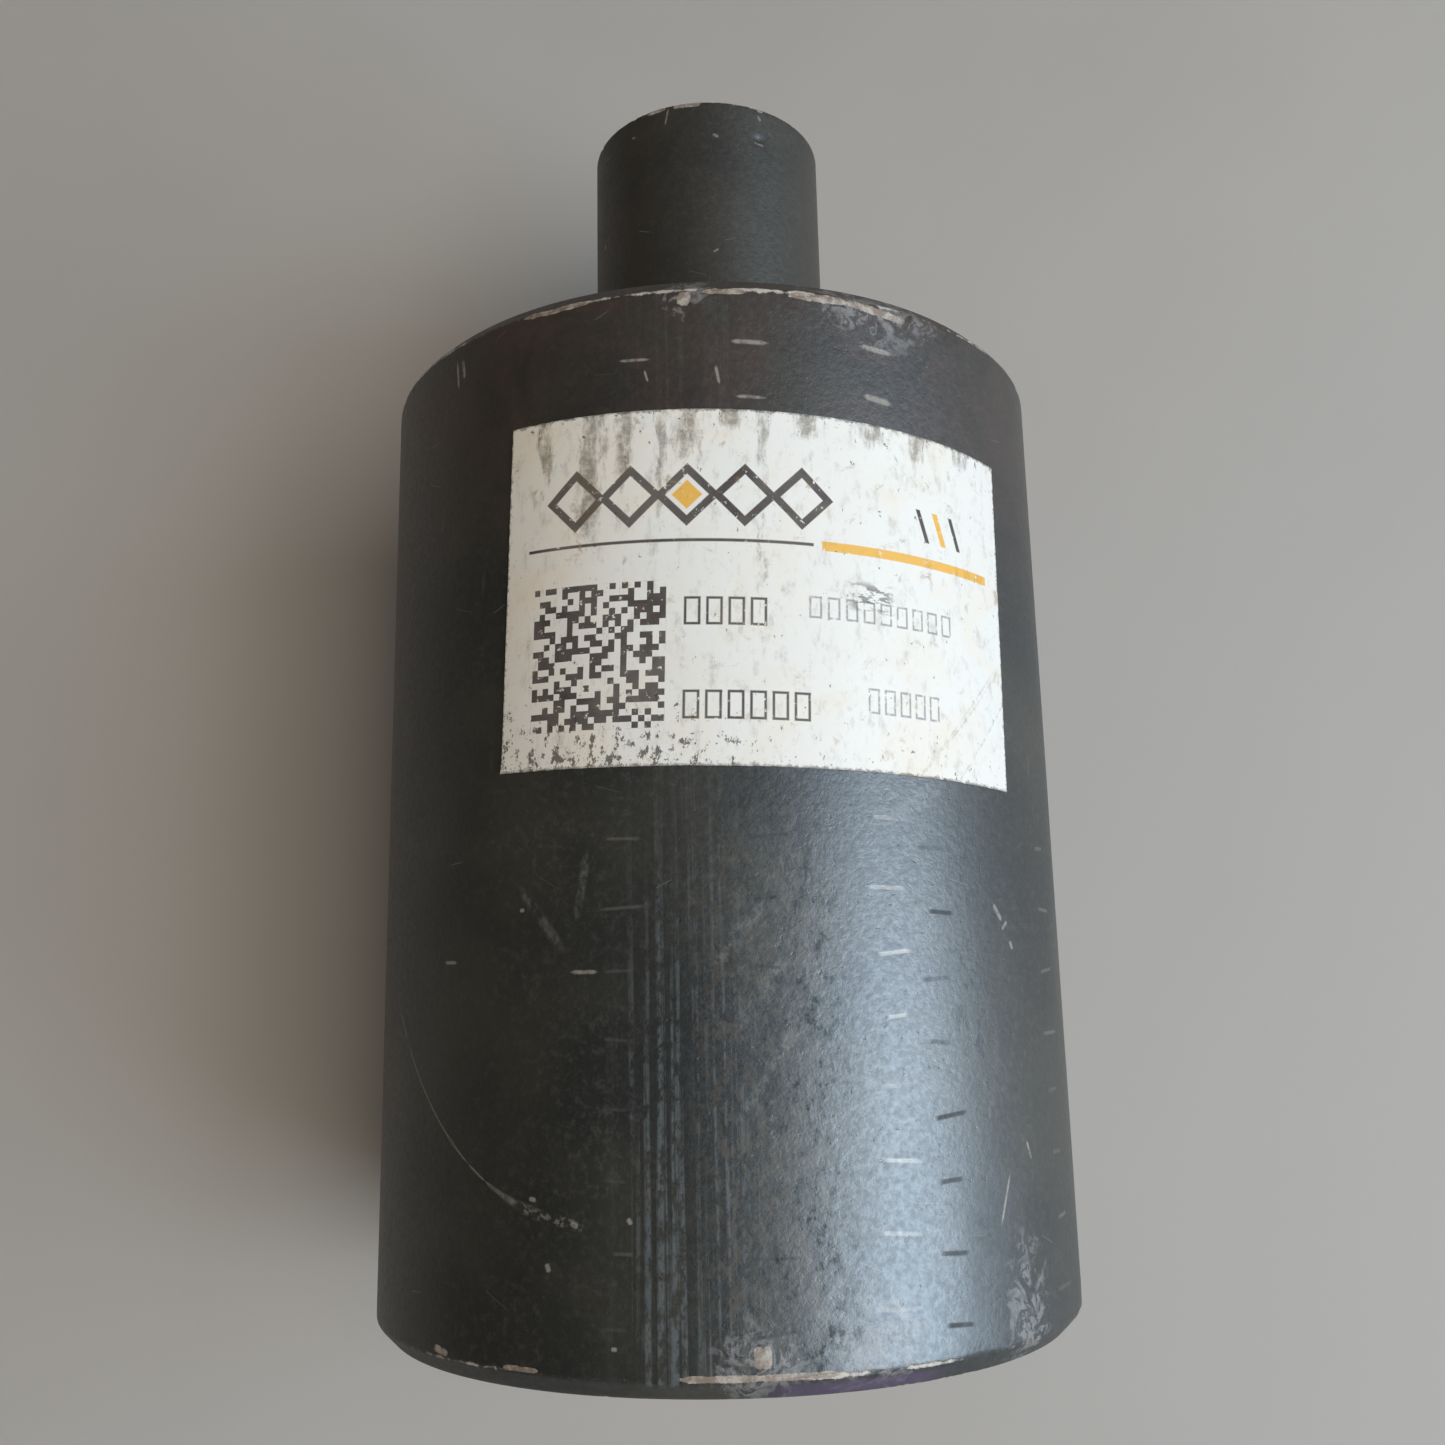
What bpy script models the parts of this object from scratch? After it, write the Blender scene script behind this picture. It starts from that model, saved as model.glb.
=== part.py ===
"""Carrier roller (top roller) of a small tracked machine.

A steel shell turns on two ball bearings about a fixed shaft. One end of the shaft stands out of
the shell and is clamped in the machine's track frame. A floating face seal closes that end, and
a cover with a filler plug closes the other.

The spin axis is Y and +Z is up. The origin is the centre of the shaft's free end. The roller
lies on its side along -Y. Lengths along the axis are called depths: a depth of 40 means
Y = -0.040. All named sizes are in millimetres. Pieces that touch in the real roller are kept a
little apart, so that their flat facets never meet as they turn.
"""

import math

import bmesh
import bpy
from mathutils import Matrix, Vector

MM = 0.001

# ---------------------------------------------------------------- driving dimensions, in mm
SHELL_D = 80.0
SHELL_LENGTH = 110.0
STUB_D = 30.0
STUB_LENGTH = 38.0
RIM_CHAMFER = 2.0
STUB_CHAMFER = 0.4
THREAD_CHAMFER = 1.0

BEARING_OD = 62.0  # deep-groove ball bearing, 30 x 62 x 16
BEARING_WIDTH = 16.0
BALL_D = 9.525
BALLS = 9
PITCH_R = (STUB_D + BEARING_OD) / 4
BALL_R = BALL_D / 2

FIT_GAP = 0.25  # kept round the axis between pieces that touch in the real roller
SIDE_GAP = 0.3  # the same, along the axis
EDGE = 0.8  # the broken edge of a turned piece
BORE_R = BEARING_OD / 2 + FIT_GAP
SEAT_R = STUB_D / 2 + FIT_GAP
RACE_GROOVE_R = BALL_R + 0.3

LABEL_WIDTH = 58.5  # measured round the tread
LABEL_HEIGHT = 37.3
LABEL_FROM_RIM = 15.5  # from the shell's shaft end to the label's near edge, at mid width
LABEL_CENTRE_DEG = 9.2  # from straight up, towards +X
LABEL_SKEW = -0.026  # rise along the axis for each mm round the tread
LABEL_THICKNESS = 0.15
LABEL_LIFT = 0.05  # kept between the label and the tread

# ---------------------------------------------------------------- depths along the axis, in mm
COLLAR_PROUD = 3.0  # the seal collar stands this far out of the shell and meets the track frame
COLLAR_FACE = STUB_LENGTH - COLLAR_PROUD
SHELL_START = STUB_LENGTH
SHELL_END = SHELL_START + SHELL_LENGTH
COLLAR_FLANGE = SHELL_START + 1.0
COLLAR_POCKET = COLLAR_FLANGE + 5.0
SEAL_PLANE = COLLAR_POCKET + 7.65  # where the two lapped seal rings meet
SHOULDER_START = COLLAR_POCKET + 0.8
BEARING_STOP = SHELL_START + 26.0
INNER_BEARING = BEARING_STOP + SIDE_GAP
OUTER_BEARING = SHELL_START + 63.7
SPACER_START = INNER_BEARING + BEARING_WIDTH + SIDE_GAP
SPACER_END = OUTER_BEARING - SIDE_GAP
RACE_CIRCLIP = OUTER_BEARING + BEARING_WIDTH + SIDE_GAP
WASHER_WIDTH = 1.2
NUT_START = RACE_CIRCLIP + WASHER_WIDTH + SIDE_GAP
NUT_WIDTH = 7.0
SHAFT_INNER_END = NUT_START + NUT_WIDTH + 2.5
COVER_START = SHELL_END - 13.7
COVER_WIDTH = 7.0
COVER_END = COVER_START + COVER_WIDTH
COVER_CIRCLIP = COVER_END + SIDE_GAP
CIRCLIP_WIDTH = 2.0
PLUG_HEAD = COVER_END + 1.6
PLUG_HEAD_WIDTH = 3.6
PLUG_SOCKET_DEPTH = 6.0

# ---------------------------------------------------------------- radii, in mm
COLLAR_BOSS_R = 22.0
COLLAR_R = 30.4
LABYRINTH_R = COLLAR_R + 1.0
SHOULDER_R = 17.8
SEAL_BORE_R = 18.6
SEAL_FLANGE_R = 26.4
SEAL_HUB_R = 21.4
SEAL_SEAT_R = 26.9
SEAL_TAPER = 0.6  # the seat and hub cones change radius by this much
SEAL_FLANGE_WIDTH = 2.2
SEAL_RING_WIDTH = 6.9
TORIC_R = 24.1
TORIC_SECTION_R = 2.3
WEB_R = 20.0  # the hole through the shell's web, between the seal and the bearings
RACE_LIP_R = 27.5  # the lip that the inner bearing's outer race rests on
NUT_R = 22.5
WASHER_R = 20.6
CIRCLIP_GROOVE_R = BORE_R + 1.5
COVER_R = BORE_R - 2 * FIT_GAP
COVER_RIM_R = 26.4
COVER_BOSS_R = 12.6
PLUG_HOLE_R = 8.3
PLUG_R = 8.0
PLUG_HEAD_R = 10.8
PLUG_SOCKET_WIDTH = 8.0  # across the hexagon's flats

O_RING_GROOVE = COLLAR_FACE + 3.5  # in the shaft, under the collar
O_RING_GROOVE_WIDTH = 3.0
O_RING_GROOVE_DEPTH = 2.0
COVER_GROOVE = COVER_START + 1.7
COVER_GROOVE_WIDTH = 3.6
COVER_GROOVE_DEPTH = 2.3

KEYWAY_WIDTH = 4.6
TAB_WIDTH = 3.8
NUT_SLOT_WIDTH = 5.0
NUT_SLOT_DEPTH = 2.9

SIDES = 36  # of each turned piece
SMALL_SIDES = 24  # of rings that are hidden inside


# ---------------------------------------------------------------- scene and materials
def clear_scene():
    for obj in list(bpy.data.objects):
        bpy.data.objects.remove(obj, do_unlink=True)


def material(name, colour, roughness, metallic=0.0):
    made = bpy.data.materials.new(name)
    made.use_nodes = True
    shader = made.node_tree.nodes["Principled BSDF"]
    shader.inputs["Base Color"].default_value = (*colour, 1.0)
    shader.inputs["Roughness"].default_value = roughness
    shader.inputs["Metallic"].default_value = metallic
    return made


def all_materials():
    return {
        "shell_paint": material("shell_paint", (0.022, 0.022, 0.024), 0.38),
        "shaft_paint": material("shaft_paint", (0.020, 0.020, 0.022), 0.42),
        "machined_steel": material("machined_steel", (0.45, 0.45, 0.46), 0.32, 1.0),
        "bearing_steel": material("bearing_steel", (0.62, 0.62, 0.63), 0.15, 1.0),
        "spring_steel": material("spring_steel", (0.09, 0.09, 0.10), 0.40, 1.0),
        "seal_iron": material("seal_iron", (0.30, 0.30, 0.31), 0.35, 1.0),
        "seal_rubber": material("seal_rubber", (0.015, 0.015, 0.015), 0.65),
        "cage_polyamide": material("cage_polyamide", (0.62, 0.56, 0.42), 0.50),
        "copper": material("copper", (0.72, 0.38, 0.24), 0.35, 1.0),
        "label_paper": material("label_paper", (0.76, 0.75, 0.72), 0.55),
    }


def group(name):
    """An empty that holds the pieces of one rigid body."""
    empty = bpy.data.objects.new(name, None)
    bpy.context.scene.collection.objects.link(empty)
    return empty


# ---------------------------------------------------------------- modelling helpers
def place(depth, radius, angle):
    """A point in metres. Angle 0 is straight up and 90 degrees is +X."""
    return Vector((radius * math.sin(angle), -depth, radius * math.cos(angle))) * MM


def finish_mesh(name, shape, look, parent, smooth_deg=30.0):
    bmesh.ops.recalc_face_normals(shape, faces=shape.faces)
    mesh = bpy.data.meshes.new(name)
    shape.to_mesh(mesh)
    shape.free()
    mesh.shade_smooth()
    mesh.set_sharp_from_angle(angle=math.radians(smooth_deg))
    mesh.materials.append(look)
    obj = bpy.data.objects.new(name, mesh)
    bpy.context.scene.collection.objects.link(obj)
    obj.parent = parent
    return obj


def turned(name, profile, look, parent, sides=SIDES):
    """A closed profile of (depth, radius) points, spun once round the axis."""
    shape = bmesh.new()
    phase = math.pi / sides  # puts the middle of a facet straight down
    points = [shape.verts.new(place(d, r, phase)) for d, r in profile]
    for i, start in enumerate(points):
        end = points[(i + 1) % len(points)]
        on_axis = profile[i][1] == 0 and profile[(i + 1) % len(points)][1] == 0
        if not on_axis:
            shape.edges.new((start, end))
    bmesh.ops.spin(
        shape,
        geom=shape.verts[:] + shape.edges[:],
        cent=(0, 0, 0),
        axis=(0, 1, 0),
        angle=2 * math.pi,
        steps=sides,
        use_merge=True,
        use_duplicate=False,
    )
    bmesh.ops.remove_doubles(shape, verts=shape.verts, dist=1e-6)
    return finish_mesh(name, shape, look, parent)


def arc(centre, radius, start_deg, end_deg, steps):
    """Points of an arc in a profile. Angle 0 is along the axis, 90 degrees is outwards."""
    depth, height = centre
    angles = [
        math.radians(start_deg + (end_deg - start_deg) * i / steps)
        for i in range(steps + 1)
    ]
    return [
        (depth + radius * math.cos(a), height + radius * math.sin(a)) for a in angles
    ]


def ring_of_round_section(name, depth, radius, section_r, look, parent, steps):
    profile = arc((depth, radius), section_r, 0, 360, steps)[:-1]
    return turned(name, profile, look, parent, SMALL_SIDES)


def prism(name, outline, depth, width, look, parent):
    """An outline of (x, z) points, extruded along the axis from depth to depth + width."""
    shape = bmesh.new()
    near = [shape.verts.new(Vector((x, -depth, z)) * MM) for x, z in outline]
    face = shape.faces.new(near)
    moved = bmesh.ops.extrude_face_region(shape, geom=[face])
    verts = [g for g in moved["geom"] if isinstance(g, bmesh.types.BMVert)]
    bmesh.ops.translate(shape, verts=verts, vec=(0, -width * MM, 0))
    return finish_mesh(name, shape, look, parent)


def cylinders(name, radius, length, matrices, sides):
    """A hidden tool made of equal cylinders, each placed by its matrix, in metres."""
    shape = bmesh.new()
    for matrix in matrices:
        bmesh.ops.create_cone(
            shape,
            cap_ends=True,
            segments=sides,
            radius1=radius * MM,
            radius2=radius * MM,
            depth=length * MM,
            matrix=matrix,
        )
    return hide_tool(finish_mesh(name, shape, bpy.data.materials[0], None))


def boxes(name, size, matrices):
    """A hidden tool made of equal boxes, each placed by its matrix, in metres."""
    shape = bmesh.new()
    for matrix in matrices:
        scale = Matrix.Diagonal((size[0] * MM, size[1] * MM, size[2] * MM, 1))
        bmesh.ops.create_cube(shape, size=1.0, matrix=matrix @ scale)
    return hide_tool(finish_mesh(name, shape, bpy.data.materials[0], None))


def hide_tool(obj):
    obj.hide_render = True
    obj.display_type = "WIRE"
    return obj


def combine(obj, tool, operation="DIFFERENCE"):
    modifier = obj.modifiers.new(tool.name, "BOOLEAN")
    modifier.operation = operation
    modifier.solver = "EXACT"
    modifier.object = tool
    return obj


def along_axis(depth, x=0.0, z=0.0):
    """A matrix that turns a tool's own Z onto the spin axis and moves it to a depth."""
    turn = Matrix.Rotation(math.radians(90), 4, "X")
    return Matrix.Translation(Vector((x, -depth, z)) * MM) @ turn


def radial(depth, radius, angle):
    """A matrix that points a tool's own Z outwards, at a depth, radius and angle."""
    spin = Matrix.Rotation(angle, 4, "Y")
    return Matrix.Translation(place(depth, radius, angle)) @ spin


def ball_angles():
    return [2 * math.pi * i / BALLS for i in range(BALLS)]


# ---------------------------------------------------------------- pieces that stand still
def axle_shaft(look, body):
    seat, thread = STUB_D / 2, STUB_D / 2 - 0.2
    groove_end = O_RING_GROOVE + O_RING_GROOVE_WIDTH
    profile = [
        (0, 0),
        (0, seat - STUB_CHAMFER),
        (STUB_CHAMFER, seat),
        (O_RING_GROOVE, seat),
        (O_RING_GROOVE, seat - O_RING_GROOVE_DEPTH),
        (groove_end, seat - O_RING_GROOVE_DEPTH),
        (groove_end, seat),
        (SHOULDER_START, seat),
        (SHOULDER_START, SHOULDER_R),
        (BEARING_STOP, SHOULDER_R),
        (BEARING_STOP, seat),
        (RACE_CIRCLIP, seat),
        (RACE_CIRCLIP, thread),
        (SHAFT_INNER_END - THREAD_CHAMFER, thread),
        (SHAFT_INNER_END, thread - THREAD_CHAMFER),
        (SHAFT_INNER_END, 0),
    ]
    shaft = turned("axle_shaft", profile, look, body)
    start = RACE_CIRCLIP - 1.0
    length = SHAFT_INNER_END + 1.0 - start
    key = Matrix.Translation(place(start + length / 2, seat, 0))
    return combine(shaft, boxes("keyway_tool", (KEYWAY_WIDTH, length, 3.0), [key]))


def seal_collar(look, body):
    skirt_end, hub_end = SEAL_PLANE - 0.5, SHOULDER_START - SIDE_GAP
    profile = [
        (COLLAR_FACE, SEAT_R),
        (COLLAR_FACE, COLLAR_BOSS_R - EDGE),
        (COLLAR_FACE + EDGE, COLLAR_BOSS_R),
        (COLLAR_FLANGE, COLLAR_BOSS_R),
        (COLLAR_FLANGE, COLLAR_R - EDGE),
        (COLLAR_FLANGE + EDGE, COLLAR_R),
        (skirt_end, COLLAR_R),
        (skirt_end, SEAL_SEAT_R + SEAL_TAPER),
        (COLLAR_POCKET, SEAL_SEAT_R),
        (COLLAR_POCKET, SEAT_R + 1.5),
        (hub_end, SEAT_R + 1.5),
        (hub_end, SEAT_R),
    ]
    return turned("seal_collar", profile, look, body)


def seal_ring(name, facing, look, body):
    """A lapped metal ring. Facing is +1 for the one that faces into the shell, -1 for its twin."""
    face = SEAL_PLANE - facing * SIDE_GAP / 2
    flange_back = face - facing * SEAL_FLANGE_WIDTH
    hub_end = face - facing * SEAL_RING_WIDTH
    profile = [
        (face, SEAL_BORE_R),
        (face, SEAL_FLANGE_R),
        (flange_back, SEAL_FLANGE_R),
        (flange_back, SEAL_HUB_R),
        (hub_end, SEAL_HUB_R - SEAL_TAPER),
        (hub_end, SEAL_BORE_R),
    ]
    return turned(name, profile, look, body, SMALL_SIDES)


def toric_ring(name, facing, look, body):
    behind_flange = SIDE_GAP / 2 + SEAL_FLANGE_WIDTH + FIT_GAP
    depth = SEAL_PLANE - facing * (behind_flange + TORIC_SECTION_R)
    return ring_of_round_section(name, depth, TORIC_R, TORIC_SECTION_R, look, body, 8)


def shaft_o_ring(look, body):
    depth, section = O_RING_GROOVE + O_RING_GROOVE_WIDTH / 2, 0.85
    radius = STUB_D / 2 - section
    return ring_of_round_section("shaft_o_ring", depth, radius, section, look, body, 6)


def inner_race(name, start, look, body):
    middle = start + BEARING_WIDTH / 2
    groove = arc((middle, PITCH_R), RACE_GROOVE_R, -132, -48, 4)
    end, shoulder = start + BEARING_WIDTH, 19.3
    profile = [
        (start, SEAT_R + EDGE),
        (start, shoulder),
        *groove,
        (end, shoulder),
        (end, SEAT_R + EDGE),
        (end - EDGE, SEAT_R),
        (start + EDGE, SEAT_R),
    ]
    return turned(name, profile, look, body)


def plain_ring(name, start, end, inside, outside, look, body, sides=SMALL_SIDES):
    profile = [(start, inside), (start, outside), (end, outside), (end, inside)]
    return turned(name, profile, look, body, sides)


def inner_race_spacer(look, body):
    start, end = SPACER_START, SPACER_END
    return plain_ring("inner_race_spacer", start, end, SEAT_R, 18.5, look, body)


def lock_washer(look, body):
    """A tab washer: its tongue sits in the shaft's keyway and its tab in a slot of the nut."""
    start, end = RACE_CIRCLIP, RACE_CIRCLIP + WASHER_WIDTH
    washer = plain_ring("lock_washer", start, end, SEAT_R, WASHER_R, look, body, SIDES)
    tongue = Matrix.Translation(place((start + end) / 2, SEAT_R + 0.2, 0))
    tongue_size = (TAB_WIDTH, WASHER_WIDTH, 3.2)
    combine(washer, boxes("tongue_tool", tongue_size, [tongue]), "UNION")
    tab_length = WASHER_WIDTH + 4.0
    tab = radial(start + tab_length / 2, WASHER_R - 0.1, math.pi)
    tab_size = (TAB_WIDTH, tab_length, WASHER_WIDTH)
    return combine(washer, boxes("tab_tool", tab_size, [tab]), "UNION")


def axle_lock_nut(look, body):
    start, end = NUT_START, NUT_START + NUT_WIDTH
    profile = [
        (start, SEAT_R),
        (start, NUT_R - EDGE),
        (start + EDGE, NUT_R),
        (end - EDGE, NUT_R),
        (end, NUT_R - EDGE),
        (end, SEAT_R),
    ]
    nut = turned("axle_lock_nut", profile, look, body)
    turns = [math.pi / 2 * i for i in range(4)]
    slots = [radial((start + end) / 2, NUT_R, a) for a in turns]
    slot_size = (NUT_SLOT_WIDTH, 2 * NUT_WIDTH, 2 * NUT_SLOT_DEPTH)
    return combine(nut, boxes("nut_slot_tool", slot_size, slots))


# ---------------------------------------------------------------- pieces that turn with the shell
def roller_shell(look, body):
    tread, rim = SHELL_D / 2, SHELL_D / 2 - RIM_CHAMFER
    web_end = BEARING_STOP - 2.2
    seat_start, seat_end = SEAL_PLANE + 0.5, SEAL_PLANE + 7.5
    profile = [
        (SHELL_START, LABYRINTH_R + EDGE),
        (SHELL_START, rim),
        (SHELL_START + RIM_CHAMFER, tread),
        (SHELL_END - RIM_CHAMFER, tread),
        (SHELL_END, rim),
        (SHELL_END, BORE_R + EDGE),
        (SHELL_END - EDGE, BORE_R),
        *circlip_groove(COVER_CIRCLIP),
        *circlip_groove(RACE_CIRCLIP),
        (BEARING_STOP, BORE_R),
        (BEARING_STOP, RACE_LIP_R),
        (web_end, RACE_LIP_R),
        (web_end, WEB_R),
        (seat_end, WEB_R),
        (seat_end, SEAL_SEAT_R),
        (seat_start, SEAL_SEAT_R + SEAL_TAPER),
        (seat_start, LABYRINTH_R),
        (SHELL_START + EDGE, LABYRINTH_R),
    ]
    return turned("roller_shell", profile, look, body)


def circlip_groove(circlip):
    """The shell's groove round a circlip, given the depth where the circlip starts."""
    near, far = circlip - 0.1, circlip + CIRCLIP_WIDTH + 0.15
    return [
        (far, BORE_R),
        (far, CIRCLIP_GROOVE_R),
        (near, CIRCLIP_GROOVE_R),
        (near, BORE_R),
    ]


def outer_race(name, start, look, body):
    middle = start + BEARING_WIDTH / 2
    groove = arc((middle, PITCH_R), RACE_GROOVE_R, 48, 132, 4)
    end, shoulder, outside = start + BEARING_WIDTH, 26.7, BEARING_OD / 2
    profile = [
        (start, outside - EDGE),
        (start + EDGE, outside),
        (end - EDGE, outside),
        (end, outside - EDGE),
        (end, shoulder),
        *groove,
        (start, shoulder),
    ]
    return turned(name, profile, look, body)


def outer_race_spacer(look, body):
    start, end, outside = SPACER_START, SPACER_END, BEARING_OD / 2
    return plain_ring("outer_race_spacer", start, end, 28.2, outside, look, body)


def internal_circlip(name, depth, open_deg, look, body):
    """A spring ring for a bore, with two drilled ears either side of its gap."""
    outside, inside, ear = CIRCLIP_GROOVE_R - FIT_GAP, BORE_R - 2.9, BORE_R - 6.4
    gap, ear_end, steps = math.radians(7), math.radians(17), 26
    centre = math.radians(open_deg)

    def round_points(radius, start, end, count):
        angles = [centre + start + (end - start) * i / count for i in range(count + 1)]
        return [(radius * math.sin(a), radius * math.cos(a)) for a in angles]

    turn = 2 * math.pi
    outline = [
        *round_points(outside, gap, turn - gap, steps),
        *round_points(ear, turn - gap, turn - ear_end, 3),
        *round_points(inside, turn - ear_end, ear_end, steps),
        *round_points(ear, ear_end, gap, 3),
    ]
    ring = prism(name, outline, depth, CIRCLIP_WIDTH, look, body)
    middle = (gap + ear_end) / 2
    spots = [place(0, ear + 2.2, centre + side * middle) / MM for side in (-1, 1)]
    holes = [along_axis(depth + CIRCLIP_WIDTH / 2, p.x, p.z) for p in spots]
    return combine(ring, cylinders(name + "_tool", 1.25, 3 * CIRCLIP_WIDTH, holes, 12))


def end_cover(look, body):
    """A disc with a groove for its O-ring and a dished outer face."""
    start, end, dish = COVER_START, COVER_END, 1.6
    groove_end = COVER_GROOVE + COVER_GROOVE_WIDTH
    groove_floor = COVER_R - COVER_GROOVE_DEPTH
    profile = [
        (start, PLUG_HOLE_R),
        (start, COVER_R - EDGE),
        (start + EDGE, COVER_R),
        (COVER_GROOVE, COVER_R),
        (COVER_GROOVE, groove_floor),
        (groove_end, groove_floor),
        (groove_end, COVER_R),
        (end, COVER_R),
        (end, COVER_RIM_R),
        (end - dish, COVER_RIM_R - dish),
        (end - dish, COVER_BOSS_R + dish),
        (end, COVER_BOSS_R),
        (end, PLUG_HOLE_R),
    ]
    return turned("end_cover", profile, look, body)


def end_cover_o_ring(look, body):
    depth, section = COVER_GROOVE + COVER_GROOVE_WIDTH / 2, 1.0
    radius = COVER_R + 0.15 - section
    name = "end_cover_o_ring"
    return ring_of_round_section(name, depth, radius, section, look, body, 6)


def plug_sealing_ring(look, body):
    start, end = COVER_END + 0.2, PLUG_HEAD - 0.2
    return plain_ring("plug_sealing_ring", start, end, PLUG_HOLE_R, 10.4, look, body)


def filler_plug(look, body):
    """A screw plug with a collar and a hexagon socket."""
    start, end = COVER_START - 1.0, PLUG_HEAD + PLUG_HEAD_WIDTH
    profile = [
        (start, 0),
        (start, PLUG_R - 1.0),
        (start + 1.0, PLUG_R),
        (PLUG_HEAD, PLUG_R),
        (PLUG_HEAD, PLUG_HEAD_R),
        (end - EDGE, PLUG_HEAD_R),
        (end, PLUG_HEAD_R - EDGE),
        (end, 0),
    ]
    plug = turned("filler_plug", profile, look, body)
    corner_r = PLUG_SOCKET_WIDTH / 2 / math.cos(math.radians(30))
    length = 2 * PLUG_SOCKET_DEPTH
    return combine(plug, cylinders("hex_tool", corner_r, length, [along_axis(end)], 6))


def spec_label(look, body):
    """A paper label that follows the facets of the tread."""
    tread = SHELL_D / 2
    half = LABEL_WIDTH / 2 / tread
    centre = math.radians(LABEL_CENTRE_DEG)
    step = 2 * math.pi / SIDES
    corners = [(i + 0.5) * step for i in range(-SIDES, SIDES)]
    inside = [a for a in corners if centre - half < a < centre + half]
    angles = [centre - half, *inside, centre + half]
    shape = bmesh.new()
    rows = []
    for a in angles:
        # on a flat facet the radius falls below the tread's between two corners
        off_middle = (a + step / 2) % step - step / 2
        flat = tread * math.cos(step / 2) / math.cos(off_middle)
        shift = LABEL_SKEW * tread * (a - centre)
        near = SHELL_START + LABEL_FROM_RIM - shift
        rows.append(
            [
                shape.verts.new(place(depth, flat + lift, a))
                for depth in (near, near + LABEL_HEIGHT)
                for lift in (LABEL_LIFT, LABEL_LIFT + LABEL_THICKNESS)
            ]
        )
    for left, right in zip(rows, rows[1:]):
        for i, j in ((0, 1), (1, 3), (3, 2), (2, 0)):
            shape.faces.new((left[i], left[j], right[j], right[i]))
    for row in (rows[0], rows[-1]):
        shape.faces.new((row[0], row[1], row[3], row[2]))
    return finish_mesh("spec_label", shape, look, body)


# ---------------------------------------------------------------- cages and balls
def cage(name, start, look, body):
    """A one-piece snap-in cage: a ring with a pocket for each ball, open on one side."""
    middle = start + BEARING_WIDTH / 2
    near, far, half = middle - 3.2, middle + 6.6, 2.9
    inside, outside = PITCH_R - half, PITCH_R + half
    ring = plain_ring(name, near, far, inside, outside, look, body, SIDES)
    pockets = [radial(middle, PITCH_R, a) for a in ball_angles()]
    return combine(ring, cylinders(name + "_tool", BALL_R + 0.35, 9.0, pockets, 14))


def ball(name, start, angle, look, body):
    shape = bmesh.new()
    bmesh.ops.create_icosphere(shape, subdivisions=2, radius=BALL_R * MM)
    obj = finish_mesh(name, shape, look, body, smooth_deg=60.0)
    obj.location = place(start + BEARING_WIDTH / 2, PITCH_R, angle)
    return obj


def bearing(side, start, looks, axle, roller):
    """One ball bearing: its races belong to the axle and the roller, its cage to neither."""
    inner_race(side + "_bearing_inner_race", start, looks["bearing_steel"], axle)
    outer_race(side + "_bearing_outer_race", start, looks["bearing_steel"], roller)
    carrier = group(side + "_cage_body")
    cage(side + "_bearing_cage", start, looks["cage_polyamide"], carrier)
    for number, angle in enumerate(ball_angles(), 1):
        name = f"{side}_bearing_ball_{number}"
        ball(name, start, angle, looks["bearing_steel"], carrier)


def main():
    clear_scene()
    looks = all_materials()
    axle, roller = group("axle_body"), group("roller_body")

    axle_shaft(looks["shaft_paint"], axle)
    seal_collar(looks["shaft_paint"], axle)
    shaft_o_ring(looks["seal_rubber"], axle)
    seal_ring("static_seal_ring", 1, looks["seal_iron"], axle)
    toric_ring("static_toric_ring", 1, looks["seal_rubber"], axle)
    inner_race_spacer(looks["machined_steel"], axle)
    lock_washer(looks["machined_steel"], axle)
    axle_lock_nut(looks["machined_steel"], axle)

    roller_shell(looks["shell_paint"], roller)
    seal_ring("rotating_seal_ring", -1, looks["seal_iron"], roller)
    toric_ring("rotating_toric_ring", -1, looks["seal_rubber"], roller)
    outer_race_spacer(looks["machined_steel"], roller)
    internal_circlip("bearing_circlip", RACE_CIRCLIP, 0, looks["spring_steel"], roller)
    end_cover(looks["shell_paint"], roller)
    end_cover_o_ring(looks["seal_rubber"], roller)
    internal_circlip("cover_circlip", COVER_CIRCLIP, 35, looks["spring_steel"], roller)
    plug_sealing_ring(looks["copper"], roller)
    filler_plug(looks["machined_steel"], roller)
    spec_label(looks["label_paper"], roller)

    bearing("inner", INNER_BEARING, looks, axle, roller)
    bearing("outer", OUTER_BEARING, looks, axle, roller)


main()
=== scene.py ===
"""Looks of the carrier roller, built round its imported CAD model.

Sizes are in millimetres unless a name says otherwise. A depth is the distance from the shaft's
free end along -Y. Angle 0 is straight up and +90 degrees is +X. "Around" is an arc length on
the surface, angle times radius.
"""

import math

import bpy
from mathutils import Matrix, Vector, noise


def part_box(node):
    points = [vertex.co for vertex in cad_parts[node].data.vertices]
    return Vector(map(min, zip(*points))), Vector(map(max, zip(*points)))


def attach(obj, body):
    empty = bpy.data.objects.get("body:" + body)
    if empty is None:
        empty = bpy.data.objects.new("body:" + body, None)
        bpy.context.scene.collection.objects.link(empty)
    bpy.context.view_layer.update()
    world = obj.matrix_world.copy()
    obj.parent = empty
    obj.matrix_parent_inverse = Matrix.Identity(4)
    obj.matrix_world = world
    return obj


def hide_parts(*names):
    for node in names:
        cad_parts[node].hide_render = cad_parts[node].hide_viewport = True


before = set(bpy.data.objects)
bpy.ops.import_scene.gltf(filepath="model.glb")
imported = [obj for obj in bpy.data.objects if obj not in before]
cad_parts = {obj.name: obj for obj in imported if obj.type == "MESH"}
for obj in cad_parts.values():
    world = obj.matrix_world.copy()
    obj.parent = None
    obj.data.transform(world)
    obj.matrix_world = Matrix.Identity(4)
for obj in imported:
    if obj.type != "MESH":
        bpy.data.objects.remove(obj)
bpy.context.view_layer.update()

MM = 0.001
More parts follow.
